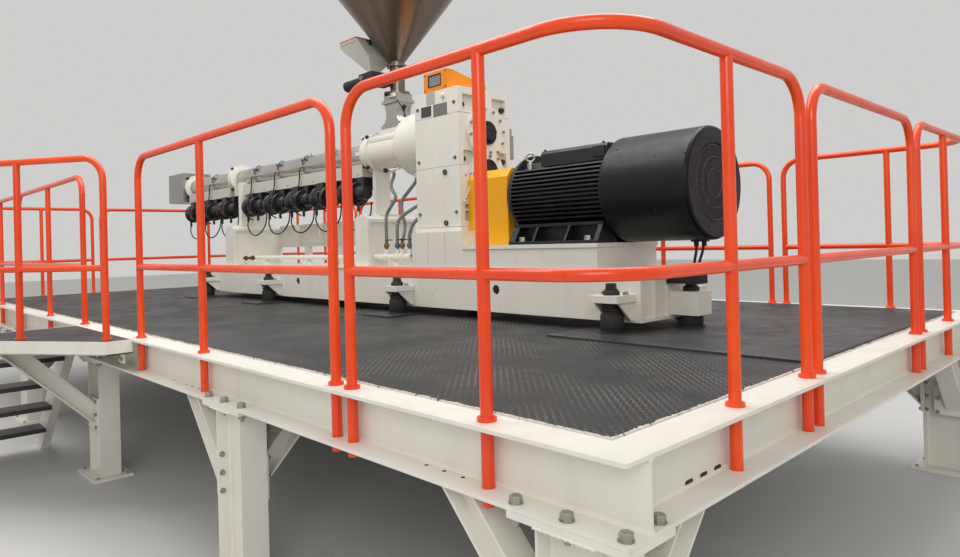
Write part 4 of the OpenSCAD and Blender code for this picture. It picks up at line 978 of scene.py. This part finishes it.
def heater_covers():
    """Sheet covers over the barrel's heaters: one turned shell a zone, rolled in at both ends."""
    end = [(0.06, 0), (COVER_R - 0.005, 0), (COVER_R - 0.0015, 0.0015), (COVER_R, 0.005)]
    shells = []
    for far, near in COVERS:
        profile = [(r, far + x) for r, x in end] + [(r, near - x) for r, x in reversed(end)]
        shells.append(put(turned(profile, 56), [(0, AXIS, SCREW)], NEARWARD))
    piece("heater_covers", shells, cover_steel, replaces=("barrel_covers",))


def beam_details():
    """Spare bolt holes in the beams' bottom flanges and the slots in the near beam's web, drawn as thin
    black discs that are painted shade of the openings, the holes' discs with a sunk middle, and the dark
    plugs in the base frame's sides."""
    # Thin black disc with a sunk middle: painted shade where each spare bolt hole is
    hole_shade = turned([(0.0065, 0), (0.0065, 0.0008), (0.0045, 0.0008), (0.004, 0.0002)], 16)
    spots = [(x, 0.07, FLANGE - BEAM) for x in (-0.792, -0.707, -0.622, -2.905, -2.733, -2.649, -2.57)]
    web = -0.0965
    end_r = 0.008
    slot_shade = ring_of(24, end_r)[:, :2]
    slot_shade = slot_shade + [[0.013, 0]] * np.sign(np.round(slot_shade[:, :1], 6))
    # Thin black slot outlines on the web: painted shade where each slot is
    slot_shades = [prism(slot_shade + [y, -0.176], web, web + 0.0012, 0) for y in (0.438, 0.521, 0.604)]
    plug = turned([(0.0295, 0), (0.0295, 0.002), (0.028, 0.003)], 32)
    sides = [put(plug, [(x, BASE_FRONT, 0.205) for x in (-2.17, -4.65)], OUT),
             put(plug, [(x, BASE_REAR, 0.205) for x in (-2.17, -4.65)], BACK)]
    piece("flange_holes", [put(hole_shade, spots)] + slot_shades + sides, bolt_black)


def brace(x, y, axis, s, low=-0.61, high=-0.47, top=-BEAM, plate=0.06):
    """Knee brace of H-section at 45 degrees from the point on a column's face up to the beam, along the
    axis 0 or 1 in its direction s: two flanges and a web as flat outlines carried across, an end plate of
    half width plate, a top plate, and two rows of three bolts."""
    plate_t = 0.012
    flange_t = 0.013
    foot = 0.01
    half = 0.05
    rise = top - plate_t
    start, centre = (x, y) if axis == 0 else (y, x)

    def solid(points, width):
        flat = np.array(points)
        flat[:, 0] = start + s * flat[:, 0]
        return prism(flat, centre - width, centre + width, 1 - axis)

    a = rise - low
    b = rise - high
    steel = [solid([(foot, low), (a, rise), (a - flange_t, rise), (foot, low + flange_t)], half),
             solid([(foot, high - flange_t), (b + flange_t, rise), (b, rise), (foot, high)], half),
             solid([(foot, low + 0.001), (a - 0.001, rise), (b + 0.001, rise), (foot, high - 0.001)], 0.003),
             solid([(0, low - 0.03), (plate_t, low - 0.03), (plate_t, high + 0.03), (0, high + 0.03)], plate),
             solid([(b - 0.02, rise), (a + 0.02, rise), (a + 0.02, top), (b - 0.02, top)], half + 0.005)]
    way = np.array([s, 0, 0] if axis == 0 else [0, s, 0])
    side = np.array([0, 1, 0] if axis == 0 else [1, 0, 0])
    spots = [np.array([x, y, (low + high) / 2 + dz]) + side * dy
             for dz in (-0.085, 0, 0.085) for dy in (0.018 - plate, plate - 0.018)]
    bolts = [put(hex_bolt(0.012), [p + way * plate_t for p in spots], way, 0.2),
             put(stud_nut(0.012), [p - way * 0.0092 for p in spots], -way, 0.4)]
    return steel, bolts


def braces():
    """Knee braces of both rows: along the beam towards the platform's middle and inwards under the cross
    beams, and one out under the landing. At the end columns the inward one stands off the middle."""
    off = 0.055
    wide_plate = 0.115
    made = []
    for y, inward, name in zip(ROWS, (1, -1), ("front", "rear")):
        for x, s, shift in ((COLUMNS[0], -1, off), (COLUMNS[1], -1, 0), (COLUMNS[3], 1, 0),
                            (COLUMNS[4], 1, -off)):
            made.append((name, brace(x + s * COLUMN_DEEP / 2, y, 0, s)))
            made.append((name, brace(x + shift, y + inward * COLUMN_WIDE / 2, 1, inward, plate=wide_plate)))
    outward = brace(COLUMNS[2], ROWS[0] - COLUMN_WIDE / 2, 1, -1, -0.645, -0.495, -0.076, wide_plate)
    made.append(("front", outward))
    for name in ("front", "rear"):
        steel = [part for row, (parts, _) in made if row == name for part in parts]
        piece(name + "_braces", steel, cream, replaces=(name + "_knee_braces",))
    piece("brace_bolts", [part for _, (_, bolts) in made for part in bolts], zinc)


def landing():
    """Landing frame of shallow channel: web plates standing just outside the deck's edge, their lower
    flanges turned inwards, cross bars under the deck and the end plate with its two bolts."""
    low = -0.078
    web = (low, 0.001, 0.001, 0.008)
    flange = (low, -0.071, -0.05, 0.008)
    corners = np.array([(-4.5, 0.0), (-4.5, -0.87), (-3.36, -0.126), (-3.36, 0.0)])
    parts = []
    for a, b in zip(corners[:-1], corners[1:]):
        along = (b - a) / np.linalg.norm(b - a)
        out = np.array([along[1], -along[0]])
        a, b = a - along * 0.004, b + along * 0.004
        for bottom, top, near, far in (web, flange):
            outline = [a + out * near, b + out * near, b + out * far, a + out * far]
            parts.append(prism(outline, bottom, top, 2))
    for x, y in ((-4.28, -0.71), (-3.85, -0.43)):
        parts.append(box((x - 0.03, y, -0.076), (x + 0.03, 0.0, -0.006)))
    parts.append(box((-4.49, -0.05, -0.076), (-3.37, 0.0, -0.006)))
    plate = -0.012
    parts.append(box((-3.55, plate, -0.15), (-3.46, 0.0, -0.07)))
    piece("landing_channel", parts, cream, replaces=("landing_frame",))
    spots = [(-3.53, plate, -0.115), (-3.49, plate, -0.125)]
    piece("landing_bolts", [put(hex_bolt(0.011), spots, OUT)], zinc)


def blowers():
    """Cooling blowers under the trunk: turned motor and fan housings with a rim at each end, a duct up
    to the trunk, a lid in front, cable glands and a long hanging lead from each to the next, and the
    two cables from the fan cowl to the cable box."""
    y, z = 1.985, 0.94
    profile = [(0.03, -0.198), (0.06, -0.197), (0.074, -0.188), (0.078, -0.17), (0.078, -0.128),
               (0.098, -0.124), (0.104, -0.116), (0.104, -0.096), (0.098, -0.088), (0.086, -0.084),
               (0.086, 0.04), (0.099, 0.044), (0.104, 0.052), (0.104, 0.07), (0.098, 0.078),
               (0.072, 0.082), (0.068, 0.14), (0.058, 0.15), (0.052, 0.19), (0.03, 0.193)]
    loop = np.array([(-0.12, -0.03, -0.14), (-0.115, -0.04, -0.2), (-0.03, -0.05, -0.275),
                     (0.08, -0.05, -0.3), (0.2, -0.05, -0.27), (0.28, -0.04, -0.19), (0.29, -0.03, -0.08)])
    centres = [(x, y, z) for x in (-4.018, -4.464, -4.91, -5.356, -5.822, -6.462, -6.906, -7.342)]
    body = [put(turned(profile, 32), centres, NEARWARD)]
    leads, lids = [], []
    for x, _, _ in centres:
        body.append(box((x - 0.075, y - 0.05, z + 0.06), (x + 0.03, y + 0.05, TRUNK_LOW), 0.004))
        body.append(box((x - 0.14, y - 0.02, z + 0.03), (x + 0.16, y + 0.14, TRUNK_LOW), 0.004))
        lids.append(box((x - 0.05, y - 0.102, z - 0.01), (x + 0.02, y - 0.08, z + 0.05), 0.004))
        for dx in (-0.12, 0.1):
            leads.append(run([(x + dx, y - 0.03, z - 0.07), (x + dx, y - 0.03, z - 0.15)], 0.013, 10, 2))
        leads.append(run(loop + [x, y, z], 0.0065, 8, 8))
    piece("blower_bodies", body, blower_black, replaces=("cooling_blowers",))
    piece("blower_lids", lids, box_paint)
    cables = [[(-0.95, AXIS, 0.48), (-0.952, AXIS, 0.43), (-0.962, AXIS, 0.38), (-0.972, AXIS, 0.326)],
              [(-0.905, AXIS, 0.48), (-0.915, AXIS, 0.43), (-0.932, AXIS, 0.38), (-0.945, AXIS, 0.326)]]
    leads += [run(path, 0.0075, 8, 6) for path in cables]
    piece("hanging_leads", leads, rubber, replaces=("black_leads",))


def mounts():
    """Levelling mounts: turned rubber foot drawn in to a grooved neck, adjusting ring on the lug, stud."""
    plate = 0.016
    foot = [(0.07, 0), (0.07, 0.006), (0.058, 0.01), (0.061, 0.016), (0.061, 0.088), (0.056, 0.098),
            (0.05, 0.104), (0.05, 0.112), (0.056, 0.116), (0.056, 0.124), (0.044, 0.129), (0.04, 0.14),
            (0.04, 0.158)]
    ring = [(0.044, 0.196), (0.044, 0.216), (0.036, 0.221), (0.036, 0.226), (0.02, 0.2262),
            (0.02, 0.242), (0.017, 0.245)]
    spots = [(x, y, plate) for x in MOUNTS_X for y in (MOUNT_FRONT, MOUNT_REAR)] + [(*END_MOUNT, plate)]
    piece("levelling_feet", [put(turned(foot, 32), spots), put(turned(ring, 24), spots)], rubber,
          replaces=("levelling_mounts",))


def hoses():
    """Grey water hoses from the feed housing and the gearbox down to the valves, on smooth curves through
    points given in millimetres, with y from the machine's middle plane."""
    routes = (((-3560, -30, 1090), (-3560, -30, 1060), (-3545, -70, 995), (-3490, -105, 945),
               (-3415, -130, 890), (-3410, -140, 855), (-3450, -150, 805), (-3485, -160, 755),
               (-3490, -170, 700), (-3490, -170, 600), (-3490, -170, 530)),
              ((-3200, -90, 1010), (-3205, -90, 985), (-3250, -95, 945), (-3315, -95, 900),
               (-3370, -98, 850), (-3372, -105, 790), (-3350, -110, 720), (-3315, -120, 660),
               (-3290, -150, 590), (-3290, -170, 530)),
              ((-3000, -100, 830), (-3070, -100, 830), (-3150, -110, 802), (-3230, -125, 768),
               (-3300, -145, 730), (-3342, -162, 685), (-3350, -170, 630), (-3350, -170, 530)),
              ((-3000, -130, 720), (-3060, -130, 720), (-3125, -145, 695), (-3175, -160, 645),
               (-3200, -170, 575), (-3200, -170, 530)))
    radius = 0.0135
    piece("cooling_hoses", [run(np.array(route) * 0.001 + [0, AXIS, 0], radius, 10) for route in routes],
          hose_grey, replaces=("water_hoses",))


FITTINGS = (platform_bolts, braces, landing, blowers, mounts, hoses, weld_beads, rail_collars,
            gearbox_fittings, screen_fittings, motor_fittings, fan_grille, mount_fittings, feed_fittings,
            barrel_fittings, water_fittings, support_fittings, cable_entries, doser, heater_covers,
            beam_details)

make_camera()
make_light()
finish_nodes()
for build in FITTINGS:
    build()
make_stage()
